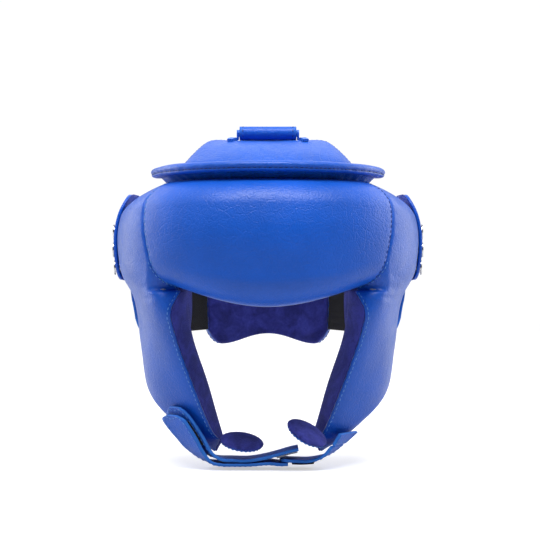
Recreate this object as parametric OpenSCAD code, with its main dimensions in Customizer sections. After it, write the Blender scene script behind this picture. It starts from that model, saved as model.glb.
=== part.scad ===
// Open-face boxing headgear: padded leather shell, suede lining, adjustable crown,
// sprung back pad with hook-and-loop straps, and a two-layer chin strap.
// Front is -Y, the wearer's left is +X, up is +Z. The origin is the centre of the
// head cavity, level with the wearer's brow.

/* [Head cavity] */
// Breadth of the head cavity at the ears
head_w = 156; // [146:1:166]
// Length of the head cavity from brow to back
head_l = 195; // [185:1:205]
// Height of the crown of the head above the origin
head_h = 92; // [86:1:100]
// Drop from the origin to the underside of the chin straps
chin_drop = 146; // [130:1:160]

/* [Padding] */
// Thickness of the forehead pad at its middle
forehead_t = 29; // [22:0.5:36]
// Thickness of the side pads over the ears
side_t = 37.5; // [32:0.5:44]
// Thickness of the back pad
back_t = 22; // [16:0.5:28]
// Thickness of the two crown flaps
crown_t = 8; // [6.5:0.5:11]
// Thickness of the leather covers
cover_t = 1.8; // [1.2:0.1:2.4]
// Thickness of the suede linings
lining_t = 1.5; // [1:0.1:2]
// Air left between neighbouring layers
gap = 0.2; // [0.15:0.05:0.4]

/* [Forehead] */
// Angle of the side seams at the top edge, from the front
seam_top = 57; // [52:1:60]
// Angle of the side seams at the brow, from the front
seam_brow = 44.5; // [41:0.5:48]
// Height of the top edge above the origin
pad_top = 68; // [60:1:72]
// Drop of the brow edge at its ends
brow_end = 12; // [8:1:18]
// Further drop of the brow edge at its middle
brow_dip = 15; // [8:1:20]

/* [Ears] */
// Height of the ear hole
ear_h = 56; // [46:1:64]
// Width of the ear hole
ear_w = 34; // [26:1:40]
// Radius of each hearing hole
vent_r = 4; // [3:0.5:5]
// Distance between hearing holes
vent_pitch = 14; // [12:1:16]

/* [Straps] */
// Width of the chin straps
chin_strap_w = 30; // [24:1:34]
// Thickness of the strap leather
strap_t = 2.2; // [1.8:0.1:2.8]
// Thickness of the hook and loop tapes
tape_t = 1.2; // [1:0.1:1.5]
// Width of the crown strap
crown_strap_w = 44; // [36:1:48]
// Radius of the leather-covered bar that the crown strap folds over
keeper_r = 2.8; // [2:0.1:3.4]
// Height of the back straps
back_strap_h = 36; // [28:1:38]

/* [Hidden] */

blue = [0.03, 0.19, 0.72];
suede = [0.16, 0.13, 0.45];
foam_grey = [0.55, 0.56, 0.6];
black = [0.03, 0.03, 0.04];
hook_grey = [0.72, 0.72, 0.7];
steel = [0.75, 0.76, 0.78];

edge_t = cover_t + lining_t + gap;    // thickness where a cover is sewn to its lining
crown_power = 2.3;                    // roundness of the crown
seam_play = 0.12;                     // degrees between the forehead pad and a side pad
outer_x = head_w / 2 + side_t;
outer_front = head_l / 2 + forehead_t;
outer_back = head_l / 2 + back_t;

// ---- smooth curves through a few points ----

// Value at x of a smooth curve through table = [[key, value], ...]; values may be vectors.
function slope(table, i) =
    let (a = table[max(i - 1, 0)], b = table[min(i + 1, len(table) - 1)])
    (b[1] - a[1]) / (b[0] - a[0]);
function hermite(p, q, m, n, d, s) =
    p * (2 * s ^ 3 - 3 * s ^ 2 + 1) + q * (3 * s ^ 2 - 2 * s ^ 3)
    + m * d * (s ^ 3 - 2 * s ^ 2 + s) + n * d * (s ^ 3 - s ^ 2);
function at(table, x) =
    let (last = len(table) - 1)
    x <= table[0][0] ? table[0][1]
    : x >= table[last][0] ? table[last][1]
    : let (
        i = max([for (k = [0 : last - 1]) if (table[k][0] <= x) k]),
        d = table[i + 1][0] - table[i][0]
    )
    hermite(table[i][1], table[i + 1][1], slope(table, i), slope(table, i + 1), d,
        (x - table[i][0]) / d);
function mix(a, b, t) = a + (b - a) * t;
function clamp01(t) = min(1, max(0, t));
function ease(t) = let (c = clamp01(t)) c * c * (3 - 2 * c);
function unit(v) = v / norm(v);

// ---- closed slabs between two grids of points ----

function flat(rows) = [for (row = rows) each row];
function turned(faces, flip) =
    flip ? [for (f = faces) [f[2], f[1], f[0]]] : faces;

// A solid between the grids outer[i][j] and inner[i][j].
module slab(outer, inner) {
    rows = len(outer);
    cols = len(outer[0]);
    count = rows * cols;
    function o(i, j) = i * cols + j;
    function n(i, j) = count + i * cols + j;
    normal = cross(outer[1][0] - outer[0][0], outer[0][1] - outer[0][0]);
    flip = normal * (outer[0][0] - inner[0][0]) < 0;
    skins = [for (i = [0 : rows - 2], j = [0 : cols - 2]) each [
        [o(i, j), o(i + 1, j + 1), o(i + 1, j)], [o(i, j), o(i, j + 1), o(i + 1, j + 1)],
        [n(i, j), n(i + 1, j), n(i + 1, j + 1)], [n(i, j), n(i + 1, j + 1), n(i, j + 1)]
    ]];
    m = cols - 1;
    k = rows - 1;
    sides = [for (i = [0 : rows - 2]) each [
        [o(i, 0), o(i + 1, 0), n(i + 1, 0)], [o(i, 0), n(i + 1, 0), n(i, 0)],
        [o(i + 1, m), o(i, m), n(i, m)], [o(i + 1, m), n(i, m), n(i + 1, m)]
    ]];
    ends = [for (j = [0 : cols - 2]) each [
        [o(0, j + 1), o(0, j), n(0, j)], [o(0, j + 1), n(0, j), n(0, j + 1)],
        [o(k, j), o(k, j + 1), n(k, j + 1)], [o(k, j), n(k, j + 1), n(k, j)]
    ]];
    polyhedron(
        points = concat(flat(outer), flat(inner)),
        faces = turned(concat(skins, sides, ends), flip)
    );
}

// ---- the head and the shell round it ----

// Radius at angle a (0 in front, 90 at the ear) of an oval round the head.
function oval(a, x, front, back) =
    1 / sqrt((sin(a) / x) ^ 2 + (cos(a) / (cos(a) > 0 ? front : back)) ^ 2);
// Height as a share of the crown above the origin, and of the chin below it.
function share(z) = z > 0 ? z / head_h : z / chin_drop;

// How the head narrows towards the crown and the jaw.
jaw = [[-1, 0.53], [-0.86, 0.615], [-0.72, 0.69], [-0.58, 0.76], [-0.27, 0.945], [0, 1]];
function head_r(a, z) =
    oval(a, head_w / 2, head_l / 2, head_l / 2)
    * (z < 0 ? at(jaw, share(z)) : (1 - min(0.999, share(z)) ^ crown_power) ^ (1 / crown_power));

// How the outside of the shell narrows, in front, at the ears and behind.
front_form = [[-1, 0.49], [-0.86, 0.645], [-0.72, 0.735], [-0.4, 0.875], [-0.18, 0.98],
    [0, 1], [0.35, 1], [0.69, 0.93]];
ear_form = [[-1, 0.52], [-0.89, 0.66], [-0.77, 0.76], [-0.6, 0.83], [-0.42, 0.86],
    [-0.25, 0.885], [-0.13, 0.92], [-0.03, 0.99], [0.05, 1.01], [0.29, 1.02], [0.5, 0.985],
    [0.7, 0.89]];
back_form = [[-1, 0.5], [-0.7, 0.75], [-0.4, 0.91], [-0.2, 0.97], [0, 1], [0.35, 1], [0.69, 0.9]];
function shell_r(a, z) =
    let (h = share(z), to_ear = ease((a - 40) / 35), to_back = ease((a - 100) / 30))
    oval(a, outer_x, outer_front, outer_back)
    * mix(mix(at(front_form, h), at(ear_form, h), to_ear), at(back_form, h), to_back);
function polar(a, r, z) = [r * sin(a), -r * cos(a), z];

// ---- padded panels ----

// How far a pad has swelled at distance d from an edge that is rounded over radius r.
function swell(d, r) = r <= 0 ? 1 : let (t = 1 - min(1, d / r)) sqrt(1 - t * t);

// One point of a pad: inside and outside of the pad, for a place [angle, height] on it.
// edges = [[distance, radius, bias], ...]; bias 0 puts that seam inside, 1 outside.
function pad_pair(place, edges) =
    let (
        a = place[0],
        z = place[1],
        r_in = head_r(a, z),
        r_out = shell_r(a, z),
        g = [for (e = edges) swell(e[0], e[1])],
        w = [for (x = g) 1 - x + 0.0001],
        total = w * [for (x = g) 1],
        bias = w * [for (e = edges) e[2]] / total,
        full = g[0] * g[1] * g[2] * g[3],
        seam = mix(r_in + edge_t / 2, r_out - edge_t / 2, bias)
    )
    [polar(a, seam - edge_t / 2 + (r_in - seam + edge_t / 2) * full, z),
     polar(a, seam + edge_t / 2 + (r_out - seam - edge_t / 2) * full, z)];

// Grids of a layer between depths below the outside and above the inside of a pad.
function from_outside(pairs, d) =
    [for (row = pairs) [for (p = row) p[1] - d * unit(p[1] - p[0])]];
function from_inside(pairs, d) =
    [for (row = pairs) [for (p = row) p[0] + d * unit(p[1] - p[0])]];
function trimmed(grid, r0, r1) =
    [for (i = [r0 : r1]) [for (j = [1 : len(grid[0]) - 2]) grid[i][j]]];

module cover_of(pairs) {
    color(blue) slab(from_outside(pairs, 0), from_outside(pairs, cover_t));
}
module lining_of(pairs) {
    color(suede) slab(from_inside(pairs, lining_t), from_inside(pairs, 0));
}
// The foam stops one row short of every seam.
module foam_of(pairs, r0, r1) {
    color(foam_grey) slab(
        trimmed(from_outside(pairs, cover_t + gap), r0, r1),
        trimmed(from_inside(pairs, lining_t + gap), r0, r1)
    );
}

// ---- forehead pad ----

forehead_u = [0, 0.018, 0.045, 0.1, 0.2, 0.3, 0.4, 0.5, 0.6, 0.7, 0.8, 0.9, 0.955, 0.982, 1];
forehead_v = [0, 0.03, 0.09, 0.18, 0.35, 0.55, 0.75, 0.88, 0.96, 1];
function seam_angle(z) =
    seam_brow + (seam_top - seam_brow) * (z + brow_end) / (pad_top + brow_end);
function brow_z(u) = -brow_end - brow_dip * sin(180 * u) ^ 1.3;
function forehead_place(u, v) =
    let (z = mix(brow_z(u), pad_top, v), half = seam_angle(z) - seam_play)
    [mix(-half, half, u), z];
function forehead_pair(u, v) =
    let (
        place = forehead_place(u, v),
        width = 2 * outer_front * 3.14159 * seam_angle(place[1]) / 180,
        height = pad_top - brow_z(u)
    )
    pad_pair(place, [
        [u * width + 6, 9, 0.5], [(1 - u) * width + 6, 9, 0.5],
        [v * height, 20, 0.3], [(1 - v) * height, 20, 0.35]
    ]);
forehead = [for (v = forehead_v) [for (u = forehead_u) forehead_pair(u, v)]];

// ---- side pads: temple, ear and cheek, down to the chin ----

side_u = [0, 0.018, 0.045, 0.09, 0.17, 0.28, 0.4, 0.52, 0.64, 0.76, 0.87, 0.94, 0.978, 1];
side_v = [0, 0.014, 0.04, 0.09, 0.17, 0.26, 0.315, 0.36, 0.4, 0.408, 0.46, 0.54, 0.63,
    0.72, 0.8, 0.87, 0.93, 0.97, 1];
side_split = 8;                       // row where the temple foam meets the cheek foam
free_edge = 0.36;                     // share of the front edge that is sewn to the forehead
front_edge = [[0, [seam_top, pad_top / head_h]], [0.36, [seam_brow, -0.085]],
    [0.4, [seam_brow - 3.9, -0.112]], [0.46, [40.2, -0.19]], [0.6, [40.3, -0.40]],
    [0.8, [35, -0.69]], [1, [31, -0.875]]];
rear_edge = [[0, [134, 0.61]], [0.2, [137, 0.06]], [0.4, [134, -0.28]],
    [0.6, [113, -0.50]], [0.8, [82, -0.71]], [1, [46, -0.95]]];
function height_of(h) = h > 0 ? h * head_h : h * chin_drop;
function side_place(u, v) =
    let (
        f = at(front_edge, v),
        r = at(rear_edge, v),
        z_front = v < free_edge
            ? mix(pad_top, height_of(front_edge[1][1][1]), v / free_edge)
            : height_of(f[1]),
        a_front = v < free_edge ? seam_angle(z_front) : f[0],
        z = mix(z_front, height_of(r[1]), u)
    )
    [mix(a_front + seam_play, r[0], u), z];
function side_pair(u, v) =
    let (
        place = side_place(u, v),
        f = side_place(0, v),
        r = side_place(1, v),
        radius = shell_r((f[0] + r[0]) / 2, place[1]),
        across = norm([(r[0] - f[0]) * 3.14159 / 180 * radius, r[1] - f[1]]),
        along = chin_drop + pad_top,
        brow = v < free_edge ? max(0, (20 - brow_end - f[1]) / 20) : 1,
        nose = min(1, brow) ^ 1.4,
        bias = mix(mix(0.5, 0.3, nose), 0.9, ease((v - free_edge) / 0.14))
    )
    pad_pair(place, [
        [u * across + mix(6, 0, nose), min(mix(9, 14, nose), 0.45 * across), bias],
        [(1 - u) * across, min(24, 0.45 * across), 0.3],
        [v * along, 20, 0.35],
        [(1 - v) * along, 12, 0.5]
    ]);
side = [for (v = side_v) [for (u = side_u) side_pair(u, v)]];

module both_sides(left) {
    if (left) children();
    else mirror([1, 0, 0]) children();
}
// An upright slot through the side of the shell.
module ear_slot(h, w, depth_from, depth_to) {
    reach = depth_to - depth_from;
    translate([depth_from, ear_y, ear_z]) rotate([0, 90, 0]) {
        for (s = [-1, 1])
            translate([s * (h - w) / 2, 0, 0]) cylinder(h = reach, r = w / 2, $fn = 48);
        translate([-(h - w) / 2, -w / 2, 0]) cube([h - w, w, reach]);
    }
}
ear_y = 6;                            // the ear sits a little behind the middle of the head
ear_z = 6;
vent_z = [for (i = [-1 : 1]) ear_z + 10 + i * vent_pitch];
// Hearing holes through the outside of the shell.
module vents(r) {
    for (z = vent_z)
        translate([head_w / 2 + 4, ear_y, z]) rotate([0, 90, 0])
            cylinder(h = side_t + 20, r = r, $fn = 40);
}

module side_cover() difference() {
    cover_of(side);
    vents(vent_r + 0.6);
}
module side_foam() difference() {
    foam_of(side, 1, side_split);
    ear_slot(ear_h, ear_w, head_w / 2 - 14, head_w / 2 + side_t + 10);
}
module cheek_foam() foam_of(side, side_split + 1, len(side_v) - 2);
module side_lining() difference() {
    lining_of(side);
    ear_slot(ear_h, ear_w, head_w / 2 - 14, head_w / 2 + side_t - 8);
}

// Leather guard over the ear, standing proud at its upper and lower ends.
guard_h = 68;
guard_w = 48;
guard_t = 2.6;
guard_z = 26;
guard_y = 20;
guard_steps = [-1, -0.93, -0.75, -0.5, -0.25, 0, 0.25, 0.5, 0.75, 0.93, 1];
function guard_point(s, t, d) =
    let (
        half = guard_w / 2 * (1 - abs(s) ^ 3.2) ^ (1 / 3.2) + 2,
        y = guard_y + t * half,
        z = guard_z + s * guard_h / 2,
        base = shell_x(y, z) + 0.6 + d + guard_lift(s)
    )
    [base, y, z];
function guard_lift(s) = 1.6 * abs(s) ^ 4;
// Outside x of the shell at a given y and z.
function shell_x(y, z) = let (a = 90 + asin(y / (outer_x * at(ear_form, share(z)))))
    shell_r(a, z) * sin(a);
module ear_guard() color(blue) difference() {
    slab(
        [for (s = guard_steps) [for (t = [-1 : 0.25 : 1]) guard_point(s, t, guard_t)]],
        [for (s = guard_steps) [for (t = [-1 : 0.25 : 1]) guard_point(s, t, 0)]]
    );
    vents(vent_r + 0.6);
}
// Where an eyelet's flange rests on the guard.
function eyelet_x(z) = shell_x(ear_y, z) + 1.4 + guard_t + guard_lift((z - guard_z) / guard_h * 2);
// Rolled metal eyelets that line the hearing holes.
eyelet_flange = 2;
eyelet_h = 7;
module ear_eyelets() color(steel) for (z = vent_z)
    translate([eyelet_x(z) - eyelet_h, ear_y, z]) rotate([0, 90, 0])
        rotate_extrude($fn = 48) polygon([
            [vent_r - 0.4, 0], [vent_r + 0.4, 0], [vent_r + 0.4, eyelet_h],
            [vent_r + eyelet_flange, eyelet_h], [vent_r + eyelet_flange, eyelet_h + 0.8],
            [vent_r - 0.4, eyelet_h + 0.8]
        ]);

// ---- rim round the top edge and the gusset under it ----

rim_reach = 84;                       // degrees each way from the front
rim_x = head_w / 2 + 8;
rim_front = head_l / 2 + 3;
rim_h = 8;
rim_d = 13;
rim_steps = 26;
rim_rise = 8.5;                       // the rim's middle above the pad's top edge in front
function rim_z(a) = pad_top + rim_rise - 1.5 * (a / rim_reach) ^ 2;
// Height of the pads' top edge at angle a.
function top_edge(a) = mix(pad_top, height_of(rear_edge[0][1][1]),
    clamp01((abs(a) - seam_top) / (rear_edge[0][1][0] - seam_top)));
function rim_grid(grow) = [for (k = [0 : rim_steps]) let (
        a = mix(-rim_reach, rim_reach, k / rim_steps),
        r = oval(a, rim_x, rim_front, rim_front)
    )
    [for (s = [-1, -0.8, -0.35, 0.35, 0.8, 1])
        polar(a, r + grow * rim_d / 2 * (1 - 0.75 * abs(s) ^ 3), rim_z(a) + s * rim_h / 2)]];
module top_rim() color(blue) slab(rim_grid(1), rim_grid(-1));

gusset_t = 2;
function gusset_grid(d) = [for (k = [0 : rim_steps]) let (
        a = mix(-rim_reach + 4, rim_reach - 4, k / rim_steps),
        z_low = top_edge(a) + gap * 2,
        r_low = mix(head_r(a, z_low), shell_r(a, z_low), 0.35),
        r_top = oval(a, rim_x, rim_front, rim_front) - 1
    )
    [for (t = [0, 0.5, 1]) polar(a, mix(r_low, r_top, t) + d,
        mix(z_low, rim_z(a) - rim_h / 2 - gap, t))]];
module rim_gusset() color(blue) slab(gusset_grid(gusset_t), gusset_grid(0));

// ---- crown flaps ----

back_top = 56;                        // top and drop of the back pad, from the origin
back_low = 57;
crown_x = head_w / 2 + 33;            // half-width and half-length of the dome the flaps lie on
crown_y = head_l / 2 + 24.5;
crown_gap = 11;                       // half the gap between the tips of the two flaps
crown_flare = 11;                     // how far the corners of the flaps stand up
function dome_z(p) =
    let (q = min(0.98, norm([p[0] / crown_x, p[1] / crown_y])))
    (head_h + 1) * (1 - q ^ crown_power) ^ (1 / crown_power);
// How far out the dome falls to height z, as a share of its half-length.
function dome_reach(z) = (1 - (z / (head_h + 1)) ^ crown_power) ^ (1 / crown_power);
flap_u = [0, 0.05, 0.15, 0.32, 0.5, 0.68, 0.85, 0.95, 1];
flap_v = [0, 0.06, 0.2, 0.4, 0.6, 0.8, 0.94, 1];
// Places of a flap, from its curved root to its tip. way is 1 in front and -1 behind.
function flap_plan(u, v, spread, root_x, root_y, tip_w, way) =
    let (
        a = mix(-spread, spread, u),
        root = [root_x * sin(a), -way * root_y * cos(a)],
        round_in = 10 * abs(2 * u - 1) ^ 4,
        tip = [mix(-tip_w, tip_w, u), -way * (crown_gap + round_in)]
    )
    mix(root, tip, v);
function flap_pair(u, v, plan) =
    let (
        p = flap_plan(u, v, plan[0], plan[1], plan[2], plan[3], plan[4]),
        full = swell(min(u, 1 - u) * 110, 12) * swell((1 - v) * 60, 12) * swell(v * 60 + 2, 9),
        inner = [p[0], p[1], dome_z(p) + plan[5] * (2 * u - 1) ^ 2 * (1 - 0.45 * (2 * u - 1) ^ 6) * v],
        lift = unit([inner[0] * 0.6, inner[1] * 0.5, inner[2]])
    )
    [inner, inner + lift * (edge_t + (crown_t - edge_t) * full), lift];
function flap_pairs(plan) = [for (v = flap_v) [for (u = flap_u) flap_pair(u, v, plan)]];
// Spread in degrees, root half-width and half-length, half-width of the tip, way and flare.
front_plan = [60, rim_x - rim_d / 2 - 4.3, rim_front - rim_d / 2 - 4.3, 47, 1, crown_flare];
back_plan = [27, crown_x * dome_reach(back_top + 6), crown_y * dome_reach(back_top + 6), 30, -1, 0];
crown_front = flap_pairs(front_plan);
crown_back = flap_pairs(back_plan);

// ---- crown strap: keeper, base with loop tape, and the free end that folds over ----

bar_y = -16;                          // the strap folds over the keeper's bar here
fold_r = keeper_r + 0.4;
crown_steps = [for (k = [0 : 10]) k / 10];
base_from = bar_y - 0.3;
base_to = 72;
end_to = 46;
// Strap level over the flaps at a given y, at height d above the crown cover.
function strap_level(y, d) = dome_z([0, y]) + (crown_t + 0.3 + d) * steepness(y);
// How much longer a plumb line through the flap is than one square to it.
function steepness(y) = norm([1, (dome_z([0, y + 1]) - dome_z([0, y - 1])) / 2]);
bar_z = strap_level(bar_y, strap_t + fold_r);
function strap_rows(y0, y1, d, w) =
    [for (s = crown_steps) let (y = mix(y0, y1, s))
        [for (t = [-1, -0.5, 0, 0.5, 1])
            [t * w / 2, y, strap_level(y, d) - sag(y) * (t * w / 2) ^ 2]]];
// The strap is flat at the keeper and bends down over the back flap.
function sag(y) = 0.0012 * ease((y - bar_y - 10) / 30);
module layer(y0, y1, d0, d1, w)
    slab(strap_rows(y0, y1, d1, w), strap_rows(y0, y1, d0, w));
module crown_strap_base() color(blue) {
    layer(base_from, base_to, 0, strap_t, crown_strap_w);
    translate([-crown_strap_w / 2, bar_y, bar_z]) rotate([90, 0, 90])
        rotate_extrude(angle = 180, start = 90, $fn = 64)
            translate([fold_r, 0]) square([strap_t, crown_strap_w]);
}
module crown_loop_tape() color(black)
    layer(bar_y + 16, end_to + 8, strap_t + 0.1, strap_t + 0.1 + tape_t, crown_strap_w - 8);
tape_top = strap_t + 0.45 + tape_t;
module crown_hook_tape() color(hook_grey)
    layer(bar_y + 20, end_to - 4, tape_top, tape_top + tape_t, crown_strap_w - 10);
// The free end hinges at the top of the fold and comes down onto the tapes.
hinge_gap = 0.5;
end_level = tape_top + tape_t + 0.1;
function end_z(y, s) = mix(bar_z + fold_r, strap_level(y, end_level), ease(s * 2.4));
function end_grid(d) = [for (s = crown_steps) let (
        y = mix(bar_y + hinge_gap, end_to, s),
        half = crown_strap_w / 2 * (s > 0.8 ? sqrt(1 - 0.8 * ((s - 0.8) / 0.2) ^ 2) : 1)
    )
    [for (t = [-1, -0.5, 0, 0.5, 1]) [t * half, y, end_z(y, s) + d - sag(y) * (t * half) ^ 2]]];
module crown_strap_end() color(blue) slab(end_grid(strap_t), end_grid(0));
// Leather-covered bar that bridges the strap and is sewn down to the front flap at both ends.
foot_t = 2;
post_t = 1.8;                         // thickness of the keeper's two upright tabs
foot_u = 0.5 + (crown_strap_w / 2 + 1.3) / 94;
function foot_grid(side, d) = [for (v = [0.7, 0.78, 0.86, 0.93])
    [for (du = [-0.02, 0, 0.02]) let (f = flap_pair(0.5 + side * (foot_u - 0.5 + du), v, front_plan))
        f[1] + f[2] * d]];
module crown_keeper() color(blue) {
    reach = crown_strap_w / 2 + 0.5;
    foot = flap_pair(foot_u, 0.93, front_plan)[1];
    translate([-reach - post_t, bar_y, bar_z]) rotate([0, 90, 0])
        cylinder(h = 2 * reach + 2 * post_t, r = keeper_r, $fn = 48);
    for (side = [-1, 1]) {
        slab(foot_grid(side, foot_t + 0.3), foot_grid(side, 0.3));
        translate([side * (reach + post_t / 2) - post_t / 2, bar_y - keeper_r, foot[2] + 0.8])
            cube([post_t, 2 * keeper_r - 1, bar_z - foot[2] - 0.8]);
    }
}

// ---- back pad ----

back_half = 33;                       // degrees each side of the back
back_u = [0, 0.035, 0.1, 0.18, 0.33, 0.5, 0.67, 0.82, 0.9, 0.965, 1];
back_v = [0, 0.03, 0.1, 0.22, 0.4, 0.6, 0.78, 0.9, 0.97, 1];
// The lower edge is a wave: two round lobes and a raised middle.
function back_edge(u) = let (t = abs(2 * u - 1))
    -back_low + 4 * cos(180 * min(1, t / 0.76)) + 12 * max(0, (t - 0.76) / 0.24) ^ 2.2;
function back_pair(u, v) =
    let (
        z = mix(back_edge(u), back_top - 6 * abs(2 * u - 1) ^ 3, v),
        half = back_half * (1 - 0.12 * v),
        width = 2 * half * 3.14159 / 180 * outer_back,
        height = back_low + back_top
    )
    pad_pair([180 + mix(-half, half, u), z], [
        [u * width, 18, 0.2], [(1 - u) * width, 18, 0.2],
        [v * height, 18, 0.35], [(1 - v) * height, 22, 0.2]
    ]);
back_pad = [for (v = back_v) [for (u = back_u) back_pair(u, v)]];

// Elastic band that joins a side pad's rear seam to the back pad's side seam.
elastic_t = 1.6;
elastic_rows = [for (k = [0 : 6]) mix(-50, 12, k / 6)];
function seam_of(pairs, i, j) = (pairs[i][j][0] + pairs[i][j][1]) / 2;
// Places on the two seams at height z, found along the seam's rows.
function seam_at(pairs, j, z) =
    let (
        seam = [for (row = pairs) (row[j][0] + row[j][1]) / 2],
        ordered = seam[0][2] < seam[len(seam) - 1][2] ? seam : [for (i = [len(seam) - 1 : -1 : 0]) seam[i]]
    )
    at([for (p = ordered) [p[2], p]], z);
function elastic_grid(d) = [for (z = elastic_rows) let (
        from = seam_at([for (i = [0 : 10]) side[i]], len(side_u) - 1, z),
        to = seam_at(back_pad, 0, z),
        out = unit([to[1] - from[1], from[0] - to[0], 0]),
        run = unit(to - from)
    )
    [for (t = [0, 0.5, 1]) mix(from + 0.4 * run, to - 0.75 * run, t) + out * d]];
module elastic() color(black) slab(elastic_grid(elastic_t / 2), elastic_grid(-elastic_t / 2));

// ---- back straps ----

strap_z = -31;                        // middle of the back straps
tongue_angle = 102;                   // where a back strap ends, over the side pad
hinge_angle = 150;                    // where it leaves the back pad
back_steps = [for (k = [0 : 12]) k / 12];
// Distance of the strap's inside from the centre, clear of the pads it crosses.
function strap_r(a, z) = shell_r(a, z) + 1.2;
function wrap_grid(a0, a1, h, d, tongue) = [for (s = back_steps) let (
        a = mix(a0, a1, s),
        half = h / 2 * (tongue && s > 0.78 ? sqrt(1 - 0.85 * ((s - 0.78) / 0.22) ^ 2) : 1)
    )
    [for (t = [-1, -0.5, 0, 0.5, 1]) let (z = strap_z + t * half) polar(a, strap_r(a, z) + d, z)]];
module wrap(a0, a1, h, d0, d1, tongue = false)
    slab(wrap_grid(a0, a1, h, d1, tongue), wrap_grid(a0, a1, h, d0, tongue));
tape_out = 2 * tape_t + 0.6;          // both tapes, closed
module side_loop_tape() color(black)
    wrap(tongue_angle + 4, 124, back_strap_h - 6, 0, tape_t);
module back_hook_tape() color(hook_grey)
    wrap(tongue_angle + 6, 122, back_strap_h - 8, tape_t + 0.45, tape_out - 0.2);
module back_strap() color(blue)
    wrap(hinge_angle - 0.3, tongue_angle, back_strap_h, tape_out, tape_out + strap_t, true);
module back_strap_base() color(blue)
    wrap(hinge_angle + 0.3, 360 - hinge_angle - 0.3, back_strap_h, tape_out, tape_out + strap_t);

// ---- chin flaps ----

flap_l = 33;
flap_w = 30;
flap_t = 7.4;
// An oval plate between two heights, with its root at the origin and its length along +X.
module flap_layer(z0, z1, inset) {
    half_l = flap_l / 2 - inset;
    half_w = flap_w / 2 - inset;
    translate([flap_l / 2, 0, z0]) linear_extrude(height = z1 - z0)
        polygon([for (k = [0 : 35]) let (a = k * 10)
            [half_l * cos(a), half_w * sin(a)]]);
}
// Places round the jaw follow the shell's breadth and length and the drop of the chin.
jaw_x = outer_x / 115.5;
jaw_y = outer_front / 126.5;
jaw_z = chin_drop / 146;
cheek_tip = side_pair(0, 1)[1];        // the front corner of the wearer's left cheek
flap_right_root = [0.734 - cheek_tip[0], cheek_tip[1] - 6.325, cheek_tip[2] - 2.25];
flap_right_tilt = [20, 8, 0];
flap_left_root = [cheek_tip[0] + 4.766, cheek_tip[1] - 12.325, cheek_tip[2] - 3.75];
flap_left_tilt = [26, -28, 180];
module at_right_flap() translate(flap_right_root) rotate(flap_right_tilt) children();
module at_left_flap() translate(flap_left_root) rotate([flap_left_tilt[0], 0, 0])
    rotate([0, -flap_left_tilt[1], 0]) rotate([0, 0, 180]) children();
module flap_cover() color(blue) flap_layer(0, cover_t, 0);
module flap_foam() color(foam_grey) flap_layer(cover_t + 0.1, flap_t - lining_t - 0.1, 1.2);
module flap_suede() color(suede) flap_layer(flap_t - lining_t, flap_t, 0);

// ---- chin straps ----

// Stations [x, y, z, turn] along the middle of a strap's inner face, from the wearer's right.
// turn is how far the strap's width is turned from straight back, to lie along the jaw.
function fitted(route) = [for (p = route) [p[0] * jaw_x, p[1] * jaw_y, p[2] * jaw_z, p[3]]];
inner_route = fitted([[-69.5, -62, -103, -38], [-65.5, -62, -111, -38], [-60.5, -62.5, -118, -36],
    [-55.5, -63, -124.5, -32], [-50.5, -64, -131, -26], [-44.5, -65, -137, -18],
    [-36, -65, -140.6, -10], [-27, -65, -141, -4], [-15, -65, -141.2, 0], [-4.5, -65, -139.7, 0],
    [5, -65, -137.4, 0], [16, -65, -134.2, 0], [22.6, -65, -132.8, 0]]);
stack = strap_t + 2 * tape_t + 0.8;   // from the inner face of one strap to that of the next
outer_route = concat(
    [for (i = [0.5, 1, 2, 3, 4]) let (f = strap_frame(inner_route, i / 12))
        [each (f[0] + stack * f[2]), f[3]]],
    fitted([[-45.5, -65, -142.3, -14], [-36, -65, -144.3, -6], [-27, -65, -144.5, 0],
        [-13.6, -65, -144.4, 0], [0, -65, -143.4, 0], [9, -65, -144.1, 0], [15, -65, -144, 0]]));
tab_route = fitted([[9, -65, -140.8, 0], [15, -65, -141.4, 0], [21, -65, -141.7, 0],
    [32, -65, -141.6, 4], [43, -65, -138.4, 12], [51.5, -64, -131.5, 20]]);
tab_tape_route = fitted([[18, -65, -144.1, 0], [26, -65, -144.3, 1], [35, -65, -143.8, 4]]);
anchor_route = fitted([[52.8, -64, -130.4, 20], [56.2, -63.4, -126.6, 25], [60, -62.8, -122.2, 30]]);
function route_point(route, t) =
    at([for (i = [0 : len(route) - 1]) [i, route[i]]], t * (len(route) - 1));
function first3(p) = [p[0], p[1], p[2]];
// [place, direction of the width, direction out of the outer face, turn] at t along a route.
function strap_frame(route, t) =
    let (
        p = route_point(route, t),
        run = first3(route_point(route, min(1, t + 0.02))) - first3(route_point(route, max(0, t - 0.02))),
        w = [sin(p[3]), cos(p[3]), 0]
    )
    [first3(p), w, unit(cross(w, run)), p[3]];
function route_grid(route, steps, w, d, round_start, round_end, from, to) =
    [for (k = [0 : steps]) let (
            s = k / steps,
            f = strap_frame(route, mix(from, to, s)),
            start = round_start && s < 0.12 ? sqrt(1 - 0.85 * (1 - s / 0.12) ^ 2) : 1,
            end = round_end && s > 0.88 ? sqrt(1 - 0.85 * ((s - 0.88) / 0.12) ^ 2) : 1,
            half = w / 2 * start * end
        )
        [for (e = [-1, -0.5, 0, 0.5, 1]) f[0] + e * half * f[1] + d * f[2]]];
module ribbon(route, steps, w, d0, d1, round_start = false, round_end = false, from = 0, to = 1)
    slab(route_grid(route, steps, w, d1, round_start, round_end, from, to),
        route_grid(route, steps, w, d0, round_start, round_end, from, to));

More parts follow.
